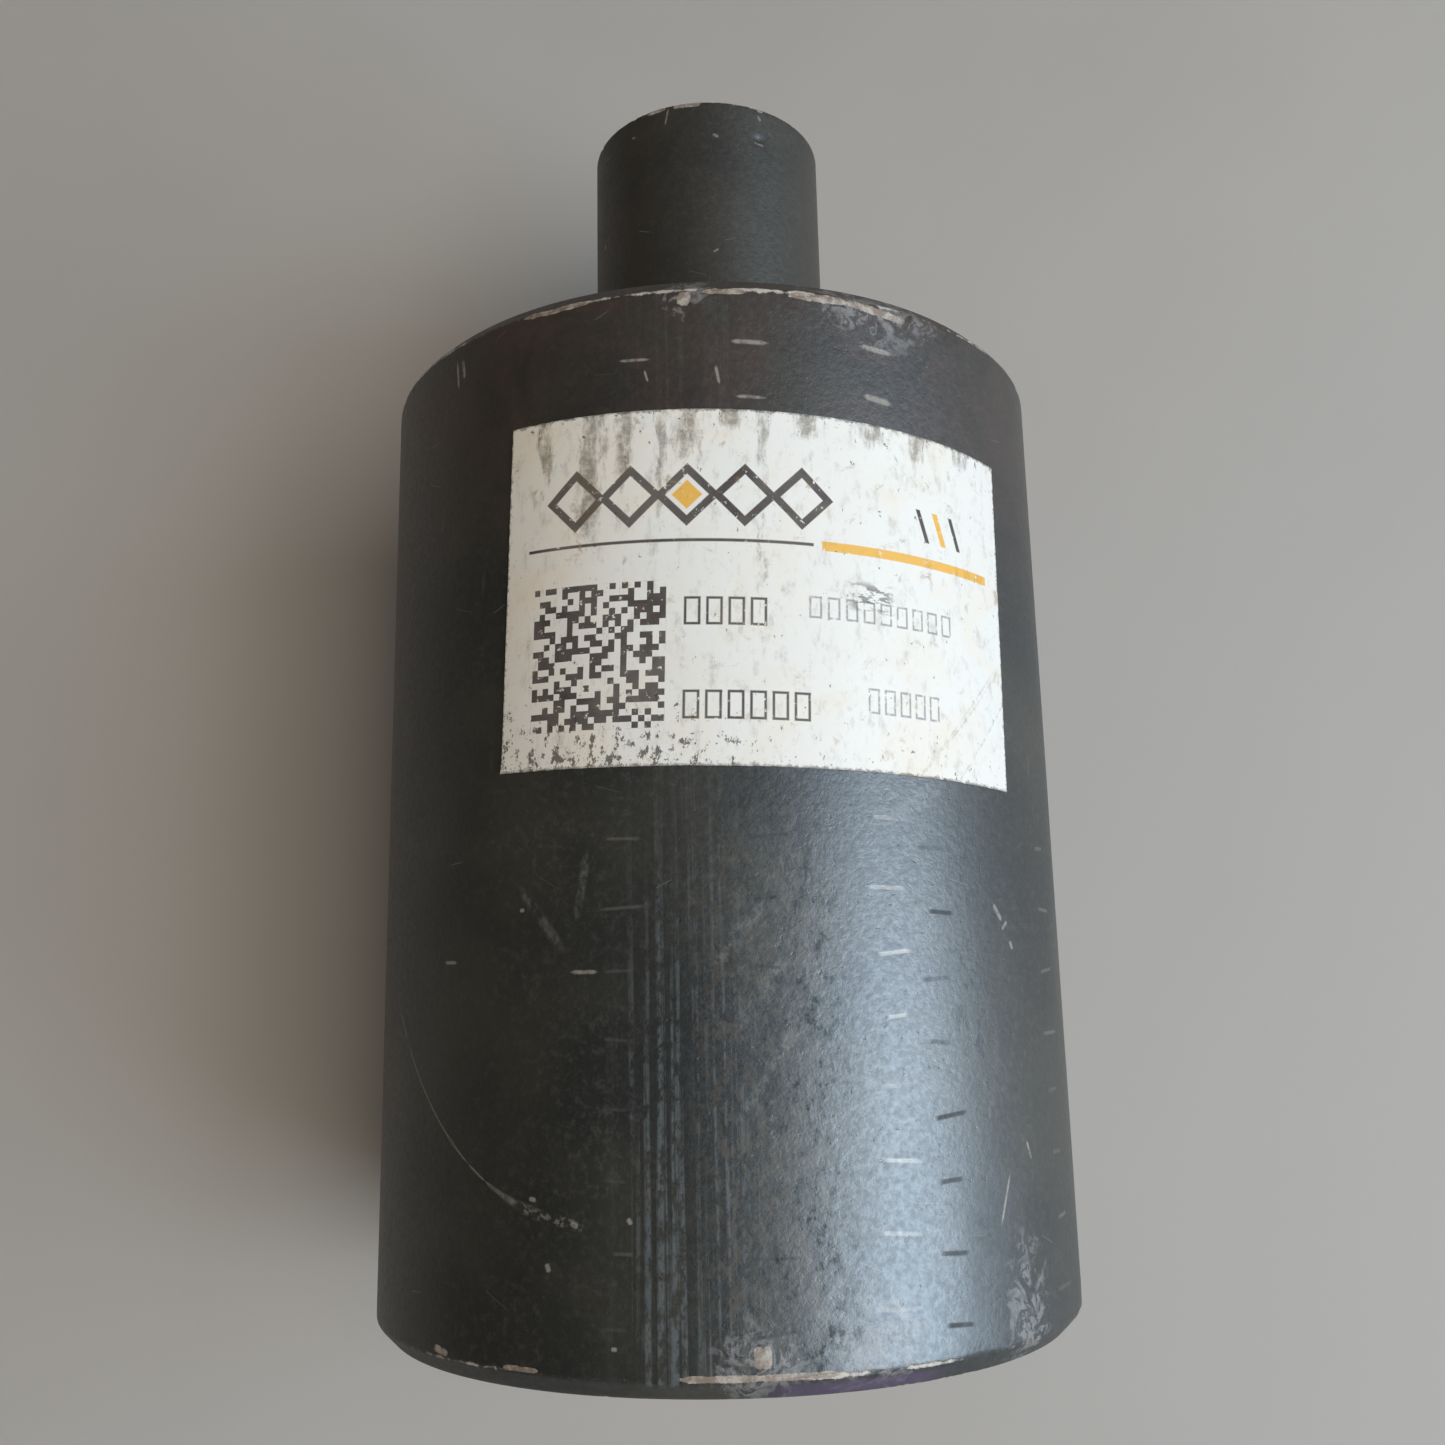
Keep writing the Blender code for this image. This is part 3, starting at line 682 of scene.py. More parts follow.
def shell_paint():
    look = Look("shell_paint_worn", "shell_paint")
    dust, grain, cloud = paint_base(look, 0.42)
    around = look.around(TREAD_R)
    degrees = look.angle * (180.0 / math.pi)
    on_tread = look.ramp(look.radius, TREAD_R - 0.9, TREAD_R - 0.2)
    off_faces = look.ramp(look.radius, RIM_R - 0.5, RIM_R + 0.3)

    # rustier near the shaft end
    rusty = look.ramp(look.depth, 48.0, 72.0, 0.85, 0.0)
    rusty = rusty * look.ramp(cloud, 0.34, 0.62, 0.25, 1.0)
    look.coat(rusty, RUSTY_BLACK)

    # long smears along the axis, on one side of the tread: dust whose bluish tone is partly a
    # painted reflection, with painted shade darkening the paint between them
    lines = look.noise(look.stretch(look.here, (1.0, 0.01, 0.0)), 1.25, 3.0, 0.75)
    lines = look.ramp(lines, 0.47, 0.60)
    broken = look.noise(look.stretch(look.here, (1.0, 0.45, 1.0)), 0.9, 4.0, 0.78)
    broken = look.ramp(broken, 0.41, 0.57)
    zone = look.inside(around, -9.0, 2.5, 3.0) * look.ramp(look.depth, 88.0, 124.0, 0.15, 1.0)
    zone = zone * on_tread
    smears_and_sheen = lines * broken * zone * 0.78
    look.coat(zone * look.ramp(lines, 0.0, 0.4, 0.75, 0.0), BLACK)
    look.coat(smears_and_sheen, SMEAR_AND_SHEEN)

    # mottled rubbing beside them: dusty spots that are partly a painted reflection, and dark
    # spots of painted shade
    spots = look.noise(look.stretch(look.here, (1.0, 0.6, 1.0)), 1.25, 5.0, 0.80)
    mottle_zone = look.inside(around, -2.0, 11.0, 3.0) * look.ramp(look.depth, 84.0, 108.0)
    mottle_zone = mottle_zone * on_tread
    mottle_and_sheen = look.ramp(spots, 0.47, 0.57) * mottle_zone
    look.coat(mottle_and_sheen * 0.5, DUST)
    painted_dark_spots = look.ramp(spots, 0.36, 0.47, 1.0, 0.0) * mottle_zone
    look.coat(painted_dark_spots * 0.8, BLACK)
    wipes = look.marks(TREAD_R, WIPES) * look.ramp(spots, 0.4, 0.6) * 0.24
    look.coat(wipes, SCUFF)

    # black pits in a ragged column, and a grubby patch by the far rim
    pit_zone = look.inside(degrees, 35.5, 42.0, 2.5) * look.inside(look.depth, 90.0, 121.0, 5.0)
    pit_noise = look.noise(look.stretch(look.here, (1.0, 0.5, 1.0)), 1.0, 4.0, 0.75)
    pits = look.ramp(pit_noise, 0.53, 0.59) * pit_zone
    low_zone = look.inside(degrees, 36.0, 46.0, 3.0)
    low_zone = low_zone * look.inside(look.depth, 131.0, 143.0, 3.0)
    low_dirt = look.ramp(cloud, 0.4, 0.56) * low_zone
    dirt = look.highest(pits, low_dirt * 0.75)
    look.coat(dirt, BLACK)

    # scuffs that gather at the rims
    patches = look.noise(look.here, 2.6, 5.0, 0.74, 1.4)
    nearest = 10.0  # further than any zone reaches
    for angle, reach, depth, length in SCUFF_ZONES:
        away = (degrees - angle) / reach
        down = (look.depth - depth) / length
        distance = look.math("SQRT", away * away + down * down)
        nearest = look.math("MINIMUM", nearest, distance)
    scuff_zone = look.ramp(nearest, 0.25, 1.1, 1.0, 0.0)
    scuffs = look.ramp(patches + scuff_zone * 0.16, 0.6, 0.7)
    scuffs = scuffs * scuff_zone * look.ramp(grain, 0.25, 0.6, 0.25, 0.62)
    look.coat(scuffs, SCUFF)

    # scratches, the columns of tool marks, and nicks; the light column marks carry a painted
    # glint and the dark ones painted shade
    scattered(look, TREAD_R, 0.14, 2.0)
    light, dark = 0.0, 0.0
    for seed, (angle, first, count, long, wide, strength) in enumerate(COLUMNS, 3):
        column, tone = look.column(TREAD_R, angle, first, COLUMN_PITCH, count, long, wide, seed)
        column = column * look.ramp(tone, 0.0, 1.0, 0.35, 1.0) * abs(strength)
        if strength > 0:
            light = look.highest(light, column)
        else:
            dark = look.highest(dark, column)
    nicks = look.marks(TREAD_R, LIGHT_MARKS) * look.ramp(grain, 0.25, 0.55, 0.1, 0.42)
    light = look.highest(light, nicks, curved_scratch(look, around, grain))
    look.coat(dark, BLACK)
    look.coat(light, BARE)
    look.height(light, -0.03)

    # the rims: bare lines where tread and chamfer meet, chips, and a purple sheen on the far
    # chamfer, a painted reflection where the highlight falls
    sheen = look.ramp(look.depth, RIM_FAR + 0.2, RIM_FAR + 0.9)
    sheen = sheen * look.inside(degrees, 6.0, 30.0, 4.0) * off_faces
    look.coat(sheen * 0.7, PAINTED_PURPLE_SHEEN)
    whiter = look.inside(degrees, 8.0, 38.0, 6.0)
    widest, bright = 0.36 + whiter * 0.2, 0.4 + whiter * 0.4
    near_wear = edge_wear(look, RIM_NEAR, TREAD_R, 0.1, widest, 0.0, bright)
    widest, bright = 0.3 + whiter * 0.16, 0.05 + look.inside(degrees, -8.0, 40.0, 6.0) * 0.4
    far_wear = edge_wear(look, RIM_FAR, TREAD_R, 0.07, widest, 31.0, bright)
    outer_wear = edge_wear(look, SHELL_START, RIM_R, -0.1, 0.34, 17.0)
    end_wear = edge_wear(look, SHELL_END, RIM_R, -0.1, 0.34, 23.0)
    chips = chipped(look, look.marks(TREAD_R, CHIPS) * off_faces, 1.3, 1.25, 1.42)

    worn = look.highest(near_wear, far_wear, outer_wear, end_wear, chips)
    on_chamfer = look.highest(
        look.ramp(look.depth, RIM_FAR, RIM_FAR + 0.6),
        look.ramp(look.depth, RIM_NEAR - 0.6, RIM_NEAR, 1.0, 0.0),
    )
    rough = look.ramp(grain, 0.3, 0.7, 0.415, 0.505)
    rough = rough + dust * 0.25 + smears_and_sheen * 0.12 + painted_dark_spots * 0.34 - mottle_and_sheen * 0.04
    rough = rough + dirt * 0.2 + scuffs * 0.1 + on_chamfer * 0.12 + worn * 0.1 + dark * 0.35
    return look.done(rough, specular=0.75)


def shaft_paint():
    look = Look("shaft_paint_worn", "shaft_paint")
    dust, grain, cloud = paint_base(look, 0.30)
    look.coat(look.ramp(cloud, 0.3, 0.7, 0.25, 0.6), STUB_BROWN)
    scattered(look, STUB_R, 0.05, 11.0)
    nicks = look.marks(STUB_R, STUB_MARKS) * look.ramp(grain, 0.25, 0.55, 0.08, 0.3)
    nicks = nicks * look.ramp(look.radius, STUB_R - 0.5, STUB_R - 0.2)
    look.coat(nicks, BARE)
    look.height(nicks, -0.03)
    at_edge = look.ramp(look.radius, STUB_R - 1.1, STUB_R - 0.6)
    chips = chipped(look, look.marks(STUB_R, STUB_CHIPS) * at_edge, 1.1, 1.22, 1.38)
    worn = edge_wear(look, 0.2, STUB_R - 0.2, -0.2, 0.38, 5.0)
    rough = look.ramp(grain, 0.3, 0.7, 0.44, 0.54)
    rough = rough + dust * 0.25 + look.highest(worn, chips) * 0.1
    return look.done(rough, specular=0.6)


def cover_paint():
    look = Look("cover_paint_worn", "shell_paint")
    dust, _, cloud = paint_base(look, 0.6)
    rings = look.noise(look.vector(look.radius, 0.0), 0.5, 3.0, 0.7)
    look.height(rings, 0.012)
    patches = look.ramp(look.noise(look.here, 2.6, 5.0, 0.7, 0.8), 0.56, 0.68)
    look.coat(patches * 0.35, SCUFF)
    for radius, seed in ((COVER_RIM_R, 3.0), (COVER_BOSS_R, 13.0)):
        edge_wear(look, COVER_END, radius, 0.1, 0.5, seed)
    rough = look.ramp(cloud, 0.3, 0.7, 0.42, 0.54) + dust * 0.3
    return look.done(rough, specular=0.6)


# ---------------------------------------------------------------- other finishes
def metal(slot, name, light, dark, rough_low, rough_high, ring_relief, stain=None):
    """Turned metal: tool rings, uneven tone, fine scratches and, with a stain, staining."""
    look = Look(name, slot)
    cloud = look.noise(look.here, 5.0, 5.0, 0.65, 0.4)
    look.colour = look.mix(look.ramp(cloud, 0.35, 0.65), dark, light)
    rings = look.noise(look.vector(look.radius, look.depth), 0.22, 2.0, 0.6)
    hairs = look.noise(look.stretch(look.here, (1.0, 9.0, 1.0)), 1.6, 3.0, 0.7)
    look.coat(look.ramp(hairs, 0.55, 0.75, 0.0, 0.35), dark)
    if stain:
        blotch = look.noise(look.here, 2.4, 5.0, 0.7)
        look.coat(look.ramp(blotch, 0.56, 0.72, 0.0, 0.7), stain)
    look.height(rings, ring_relief)
    look.height(hairs, 0.003)
    rough = look.ramp(cloud, 0.3, 0.7, rough_low, rough_high)
    return look.done(rough, metallic=1.0)


def moulded(slot, name, light, dark, rough_low, rough_high, grain_size, relief):
    """Rubber or plastic: a fine grain, uneven tone and light flecks."""
    look = Look(name, slot)
    cloud = look.noise(look.here, 4.0, 4.0, 0.6, 0.3)
    look.colour = look.mix(look.ramp(cloud, 0.35, 0.65), dark, light)
    grain = look.noise(look.here, grain_size, 3.0, 0.6)
    look.coat(look.ramp(grain, 0.6, 0.75, 0.0, 0.25), light)
    look.height(grain, relief)
    return look.done(look.ramp(cloud, 0.3, 0.7, rough_low, rough_high))


# slot: name, light, dark, lowest and highest roughness, relief of the tool rings, stain
METALS = {
    "machined_steel": (
        "machined_steel_oiled", (0.50, 0.49, 0.47), (0.36, 0.35, 0.34), 0.28, 0.42, 0.010,
        (0.20, 0.15, 0.10),
    ),
    "bearing_steel": (
        "bearing_steel_ground", (0.66, 0.66, 0.66), (0.52, 0.52, 0.53), 0.12, 0.22, 0.002,
    ),
    "spring_steel": (
        "spring_steel_black", (0.10, 0.10, 0.10), (0.055, 0.053, 0.05), 0.34, 0.50, 0.006,
        (0.16, 0.12, 0.09),
    ),
    "seal_iron": (
        "seal_iron_lapped", (0.36, 0.35, 0.35), (0.26, 0.25, 0.25), 0.22, 0.42, 0.004,
    ),
    "copper": (
        "copper_dulled", (0.74, 0.40, 0.26), (0.50, 0.25, 0.16), 0.28, 0.46, 0.005,
        (0.22, 0.11, 0.07),
    ),
}  # fmt: skip
# slot: name, light, dark, lowest and highest roughness, size and relief of the grain
MOULDINGS = {
    "seal_rubber": (
        "seal_rubber_oily", (0.030, 0.029, 0.028), (0.012, 0.012, 0.012), 0.42, 0.66, 0.35, 0.006,
    ),
    "cage_polyamide": (
        "cage_polyamide_moulded", (0.66, 0.60, 0.46), (0.54, 0.47, 0.33), 0.36, 0.52, 0.5, 0.004,
    ),
}  # fmt: skip


# ---------------------------------------------------------------- the label
PAPER = (0.85, 0.85, 0.82)
# aged paper, also used as painted shade on the label's left side
PAPER_AGED_SHADED = (0.84, 0.73, 0.58)
INK = (0.060, 0.046, 0.043)
GREY_INK = (0.30, 0.29, 0.29)
AMBER = (0.86, 0.47, 0.050)
GRIME_AND_SHADE = (0.075, 0.062, 0.048)
# dirt, also used for painted shade in the creases and a painted shadow at the label's edges
SMUDGE = (0.150, 0.115, 0.072)
STAIN = (0.36, 0.26, 0.13)


class Print(Look):
    """The label's paper, with shapes given in mm across it and down from its top edge.

    A shape is a distance: below 0 inside its outline and above 0 outside.
    """

    def __init__(self):
        super().__init__("label_paper_worn", "label_paper")
        du = self.around(TREAD_R) - LABEL_CENTRE * TREAD_R
        dv = self.depth - LABEL_MID
        c, s = math.cos(LABEL_TURN), math.sin(LABEL_TURN)
        self.across = du * c + dv * s
        self.down = dv * c - du * s + LABEL_HEIGHT / 2
        self.place = self.vector(self.across, self.down)

    def along_row(self, left, pitch, count, slant=0.0):
        """The distance across from the middle of the nearest of count cells, and its number."""
        start = self.across + self.down * slant - left
        cell = self.math("FLOOR", start / pitch)
        cell = self.math("MINIMUM", self.math("MAXIMUM", cell, 0.0), count - 1.0)
        middle = (cell + 0.5) * pitch
        return abs(start - middle), cell

    def off_line(self, top, bottom):
        """The distance down from midway between two lines."""
        return abs(self.down - (top + bottom) / 2)

    def bars(self, left, pitch, count, width, top, bottom, slant=0.0):
        """Boxes in a row, each in the middle of its cell."""
        sideways, _ = self.along_row(left, pitch, count, slant)
        off = self.off_line(top, bottom)
        return self.highest(sideways - width / 2, off - (bottom - top) / 2)

    def box(self, left, right, top, bottom):
        return self.bars(left, right - left, 1, right - left, top, bottom)

    def solid(self, distance):
        return self.ramp(distance, -0.06, 0.06, 1.0, 0.0)

    def outline(self, distance, line):
        return self.inside(distance, -line, 0.0, 0.06)


def label_paper():
    """Dirty printed paper. Its print is plain shapes with no meaning."""
    look = Print()
    across, down, place = look.across, look.down, look.place
    cloud = look.noise(place, 11.0, 5.0, 0.65, 0.5)
    grain = look.noise(place, 0.5, 3.0, 0.65)
    ragged = look.noise(place, 0.9, 4.0, 0.75)

    # aged paper in random clouds, plus painted shade: the paper browner and darker towards its
    # left edge
    aged_and_left_shade = look.ramp(across, -30.0, -8.0, 0.35, 0.0) + look.ramp(cloud, 0.44, 0.72, 0.0, 0.45)
    look.colour = look.mix(aged_and_left_shade, PAPER, PAPER_AGED_SHADED)

    # a chain of diamonds, with an amber one in the middle
    pitch, diamonds = 5.84, 5
    sideways, cell = look.along_row(-23.8, pitch, diamonds)
    off = look.off_line(6.1, 12.7)
    diamond, small = [(sideways + off - reach) * math.sqrt(0.5) for reach in (3.35, 1.55)]
    small_amber = look.solid(small) * look.math("COMPARE", cell, diamonds // 2, 0.5)

    # a mosaic of random squares
    square = 0.65
    columns, rows = 22, 23
    left, top = -25.4, 18.4
    column = look.math("FLOOR", (across - left) / square)
    row = look.math("FLOOR", (down - top) / square)
    _, dice_value = look.dice(column + row * ROW_STEP)
    field = look.box(left, left + columns * square, top, top + rows * square)
    mosaic = look.math("GREATER_THAN", dice_value, 0.5) * look.solid(field)

    ink = look.highest(
        look.outline(diamond, 0.8),
        look.solid(look.box(-26.3, 3.7, 14.05, 14.38)),
        mosaic,
        look.outline(look.bars(-9.6, 2.2, 4, 1.65, 20.1, 23.0), 0.26),
        look.outline(look.bars(-9.6, 2.2, 6, 1.65, 29.6, 32.5), 0.26),
        look.solid(look.bars(10.5, 5.0, 1, 0.55, 8.5, 12.0, -0.35)),
        look.solid(look.bars(15.1, 5.0, 1, 0.55, 8.5, 12.0, -0.35)),
    )
    grey = look.highest(
        look.outline(look.bars(2.9, 1.95, 9, 1.35, 19.6, 21.9), 0.22),
        look.outline(look.bars(9.2, 1.85, 5, 1.30, 28.6, 31.2), 0.22),
    )
    amber = look.highest(
        small_amber,
        look.solid(look.bars(12.8, 5.0, 1, 0.75, 8.5, 12.0, -0.35)),
        look.solid(look.box(4.6, 26.4, 13.75, 14.75)),
    )
    kept = look.ramp(ragged, 0.34, 0.40)
    faded = look.ramp(cloud, 0.3, 0.7, 0.98, 0.86)
    look.coat(ink * kept * faded, INK)
    look.coat(grey * look.ramp(ragged, 0.36, 0.5) * 0.85, GREY_INK)
    look.coat(amber * kept * 0.92, AMBER)

    # smudges that run down from the top edge: middle, reach across, how far down, and strength
    runs = look.noise(look.vector(across, down * 0.3), 1.9, 5.0, 0.75)
    smudge_zone = 0.0
    for middle_at, reach, length, strength in (
        (-19.3, 2.6, 19.0, 1.0),
        (-9.5, 3.4, 7.5, 0.8),
        (-5.0, 2.0, 3.0, 1.0),
        (3.0, 3.0, 4.0, 1.0),
        (10.0, 4.0, 3.5, 0.8),
        (-12.0, 1.6, 17.0, 0.6),
        (-1.5, 1.4, 36.0, 0.45),
        (-24.5, 2.2, 9.0, 0.8),
        (-15.8, 1.8, 11.0, 0.9),
        (16.0, 4.0, 5.0, 0.6),
        (23.0, 3.0, 3.0, 0.7),
    ):
        side = look.ramp(abs(across - middle_at), 0.0, reach, 1.0, 0.0)
        side = side * look.ramp(down, length * 0.4, length, strength, 0.0)
        smudge_zone = look.highest(smudge_zone, side)
    smudge = look.ramp(runs + smudge_zone * 0.24, 0.56, 0.76)
    smudge = smudge * look.ramp(smudge_zone, 0.0, 0.3) * look.ramp(ragged, 0.3, 0.6, 0.3, 0.7)
    stains = look.ramp(look.noise(place, 2.4, 4.0, 0.65, 0.5), 0.6, 0.72)
    stains = stains * look.ramp(down, 12.0, 22.0, 1.0, 0.6) * 0.6
    veil = look.noise(look.vector(across, down * 0.45), 1.5, 5.0, 0.75)
    look.coat(look.ramp(veil, 0.50, 0.74, 0.0, 0.30), SMUDGE)
    look.coat(stains, STAIN)
    look.coat(smudge, SMUDGE)

    # specks, which grow denser and longer towards the bottom edge on the left
    speck_zone = (
        look.ramp(across, -14.0, 4.0, 1.0, 0.0) * look.ramp(down, 24.0, 37.0)
        + look.ramp(down, 31.0, 37.0) * 0.6
        + look.ramp(down, 3.5, 0.0) * 0.7
        + 0.18
    )
    speck_noise = look.noise(look.vector(across, down * 0.62), 0.95, 4.0, 0.75)
    specks = look.ramp(speck_noise + speck_zone * 0.085, 0.665, 0.715)

    # a dark scuff through the grey row, creases at a corner darkened with painted shade, and dirt
    # in the edges that is partly a painted shadow of the paper's edge
    wavy = look.noise(look.vector(across * 0.35, down + 3.0), 0.75, 3.0, 0.7)
    scuff_zone = look.inside(across, 7.6, 12.4, 0.9) * look.inside(down, 17.7, 20.6, 0.5)
    scuff = look.ramp(wavy, 0.5, 0.56) * scuff_zone * 0.8
    crease = 0.0
    for offset, slope in ((49.5, 0.92), (51.8, 0.98), (52.6, 0.86)):
        line = abs(across + down * slope - offset)
        line = look.ramp(line + ragged * 1.6, 0.62, 1.05, 1.0, 0.0)
        crease = look.highest(crease, line)
    crease_zone = look.ramp(down, 23.0, 27.0) * look.ramp(across, 12.0, 18.0)
    crease = crease * crease_zone * 0.3
    half = LABEL_WIDTH / 2
    from_edge = look.math(
        "MINIMUM", half - abs(across), look.math("MINIMUM", down, LABEL_HEIGHT - down)
    )
    edge = look.ramp(from_edge - ragged * 1.6, -0.62, -0.3, 0.8, 0.0)
    dirt = look.highest(specks, scuff, edge)
    look.coat(crease, GRIME_AND_SHADE)
    look.coat(dirt * 0.85, GRIME_AND_SHADE)

    look.height(look.noise(place, 6.0, 2.0), 0.04)
    look.height(grain, 0.004)
    look.height(dirt + crease * 3.0, 0.008)
    rough = look.ramp(cloud, 0.3, 0.7, 0.42, 0.54) + dirt * 0.25
    return look.done(rough, specular=0.18)


# ---------------------------------------------------------------- new pieces
COARSE = 100.0  # the spacing where nothing is worn


def circlip_groove(circlip):
    """The shell's groove round a circlip, given the depth where the circlip starts."""
    near, far, out = circlip - 0.1, circlip + 2.15, BORE_R + 1.5
    return [(far, BORE_R), (far, out), (near, out), (near, BORE_R)]


def shell_piece():
    """The shell: a fine tread with rounded, knocked rims, over the CAD's bore."""
    web_end = BEARING_STOP - 2.2
    seat_start, seat_end = SEAL_PLANE + 0.5, SEAL_PLANE + 7.5
    profile = [
        (SHELL_START, LABYRINTH_R + EDGE),
        (SHELL_START, RIM_R, 0.5),
        (RIM_NEAR, TREAD_R, 0.5),
        (RIM_FAR, TREAD_R, 0.5),
        (SHELL_END, RIM_R, 0.5),
        (SHELL_END, BORE_R + EDGE, 0.2),
        (SHELL_END - EDGE, BORE_R, 0.2),
        *circlip_groove(COVER_CIRCLIP),
        *circlip_groove(RACE_CIRCLIP),
        (BEARING_STOP, BORE_R),
        (BEARING_STOP, RACE_LIP_R),
        (web_end, RACE_LIP_R),
        (web_end, WEB_R),
        (seat_end, WEB_R),
        (seat_end, SEAL_SEAT_R),
        (seat_start, SEAL_SEAT_WIDE_R),
        (seat_start, LABYRINTH_R),
        (SHELL_START + EDGE, LABYRINTH_R, 0.2),
    ]

    def spacing(depth, radius):
        if radius < RIM_R:
            return COARSE
        return 0.4 if min(depth - SHELL_START, SHELL_END - depth) < 4.0 else 1.6

    def worn(angle, depth, radius):
        if radius < RIM_R - 0.6:
            return radius
        from_rim = min(abs(depth - RIM_NEAR), abs(RIM_FAR - depth))
        knocks = max(0.0, drift(angle, depth, 2.2, 3.0) - 0.25) * max(0.0, 1 - from_rim / 1.2)
        waves = drift(angle, depth, 14.0, 9.0) - 0.6
        return radius - 0.32 * knocks + 0.02 * waves

    return turned("shell_with_worn_rims", profile, 384, spacing, worn)


def shaft_piece():
    """The shaft: its stub end has a dent, a centre hole and a rubbed edge."""
    thread = STUB_R - 0.2
    groove_end, groove_r = O_RING_GROOVE + 3.0, STUB_R - 2.0
    fine_end, stub_end, centre_r = 7.0, 36.0, 10.0
    dent_angle, dent_depth = math.radians(27.0), 4.7
    profile = [
        (3.4, 0.0),
        (1.6, 1.0, 0.1),
        (0.9, 1.3, 0.1),
        (0.0, 2.6, 0.2),
        (0.0, STUB_R - STUB_CHAMFER, 0.15),
        (STUB_CHAMFER, STUB_R, 0.15),
        (fine_end, STUB_R),
        (O_RING_GROOVE, STUB_R),
        (O_RING_GROOVE, groove_r),
        (groove_end, groove_r),
        (groove_end, STUB_R),
        (SHOULDER_START, STUB_R),
        (SHOULDER_START, SHOULDER_R, 0.3),
        (BEARING_STOP, SHOULDER_R, 0.3),
        (BEARING_STOP, STUB_R),
        (RACE_CIRCLIP, STUB_R),
        (RACE_CIRCLIP, thread),
        (SHAFT_END - 1.0, thread),
        (SHAFT_END, thread - 1.0),
        (SHAFT_END, 0.0),
    ]

    def spacing(depth, radius):
        if radius < centre_r or depth > stub_end:
            return COARSE
        return 0.35 if depth < fine_end else 1.2

    def worn(angle, depth, radius):
        if depth > stub_end or radius < centre_r + 2.0:
            return radius
        off = dent_angle - (angle if angle < math.pi else angle - TURN)
        dent = math.exp(-((off * STUB_R / 0.55) ** 2) - ((depth - dent_depth) / 0.5) ** 2)
        rim = max(0.0, 1 - depth / 1.2)
        knocks = max(0.0, drift(angle, depth, 1.8, 21.0) - 0.2) * rim
        return radius - 0.25 * dent - 0.35 * knocks

    return turned("shaft_with_stub", profile, 240, spacing, worn)


def collar_piece():
    skirt_end, hub_end, hub_r = SEAL_PLANE - 0.5, SHOULDER_START - 0.3, SEAT_R + 1.5
    profile = [
        (COLLAR_START, SEAT_R),
        (COLLAR_START, COLLAR_BOSS_R - EDGE, 0.3),
        (COLLAR_START + EDGE, COLLAR_BOSS_R, 0.3),
        (COLLAR_FLANGE, COLLAR_BOSS_R),
        (COLLAR_FLANGE, COLLAR_R - EDGE, 0.3),
        (COLLAR_FLANGE + EDGE, COLLAR_R, 0.3),
        (skirt_end, COLLAR_R),
        (skirt_end, SEAL_SEAT_WIDE_R),
        (COLLAR_POCKET, SEAL_SEAT_R),
        (COLLAR_POCKET, hub_r),
        (hub_end, hub_r),
        (hub_end, SEAT_R),
    ]
    return turned("seal_collar_turned", profile, 144)


def cover_piece():
    """The end cover, with a dished face."""
    dish, groove_start, groove_end, groove_r = 1.6, 136.0, 139.6, COVER_R - 2.3
    profile = [
        (COVER_START, PLUG_HOLE_R),
        (COVER_START, COVER_R - EDGE),
        (COVER_START + EDGE, COVER_R),
        (groove_start, COVER_R),
        (groove_start, groove_r),
        (groove_end, groove_r),
        (groove_end, COVER_R),
        (COVER_END, COVER_R, 0.2),
        (COVER_END, COVER_RIM_R, 0.4),
        (COVER_END - dish, COVER_RIM_R - dish, 0.6),
        (COVER_END - dish, COVER_BOSS_R + dish, 0.6),
        (COVER_END, COVER_BOSS_R, 0.4),
        (COVER_END, PLUG_HOLE_R, 0.2),
    ]
    return turned("end_cover_dished", profile, 192, lambda depth, radius: 3.0)


def sealing_ring_piece():
    profile = [
        (WASHER_START, PLUG_HOLE_R, 0.15),
        (WASHER_START, WASHER_R, 0.3),
        (WASHER_END, WASHER_R, 0.3),
        (WASHER_END, PLUG_HOLE_R, 0.15),
    ]
    return turned("plug_sealing_ring_soft", profile, 128)


def bevelled_copy(node):
    """A CAD node's shape with its sharp edges rounded."""
    name = node + "_rounded"
    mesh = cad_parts[node].data.copy()
    mesh.name = name
    made = new_object(name, mesh)
    weld = made.modifiers.new("weld", "WELD")
    weld.merge_threshold = WELD
    bevel = made.modifiers.new("round edges", "BEVEL")
    bevel.width = 0.25 * MM
    bevel.segments = 2
    bevel.limit_method = "ANGLE"
    bevel.angle_limit = math.radians(40)
    bevel.harden_normals = True
    return made


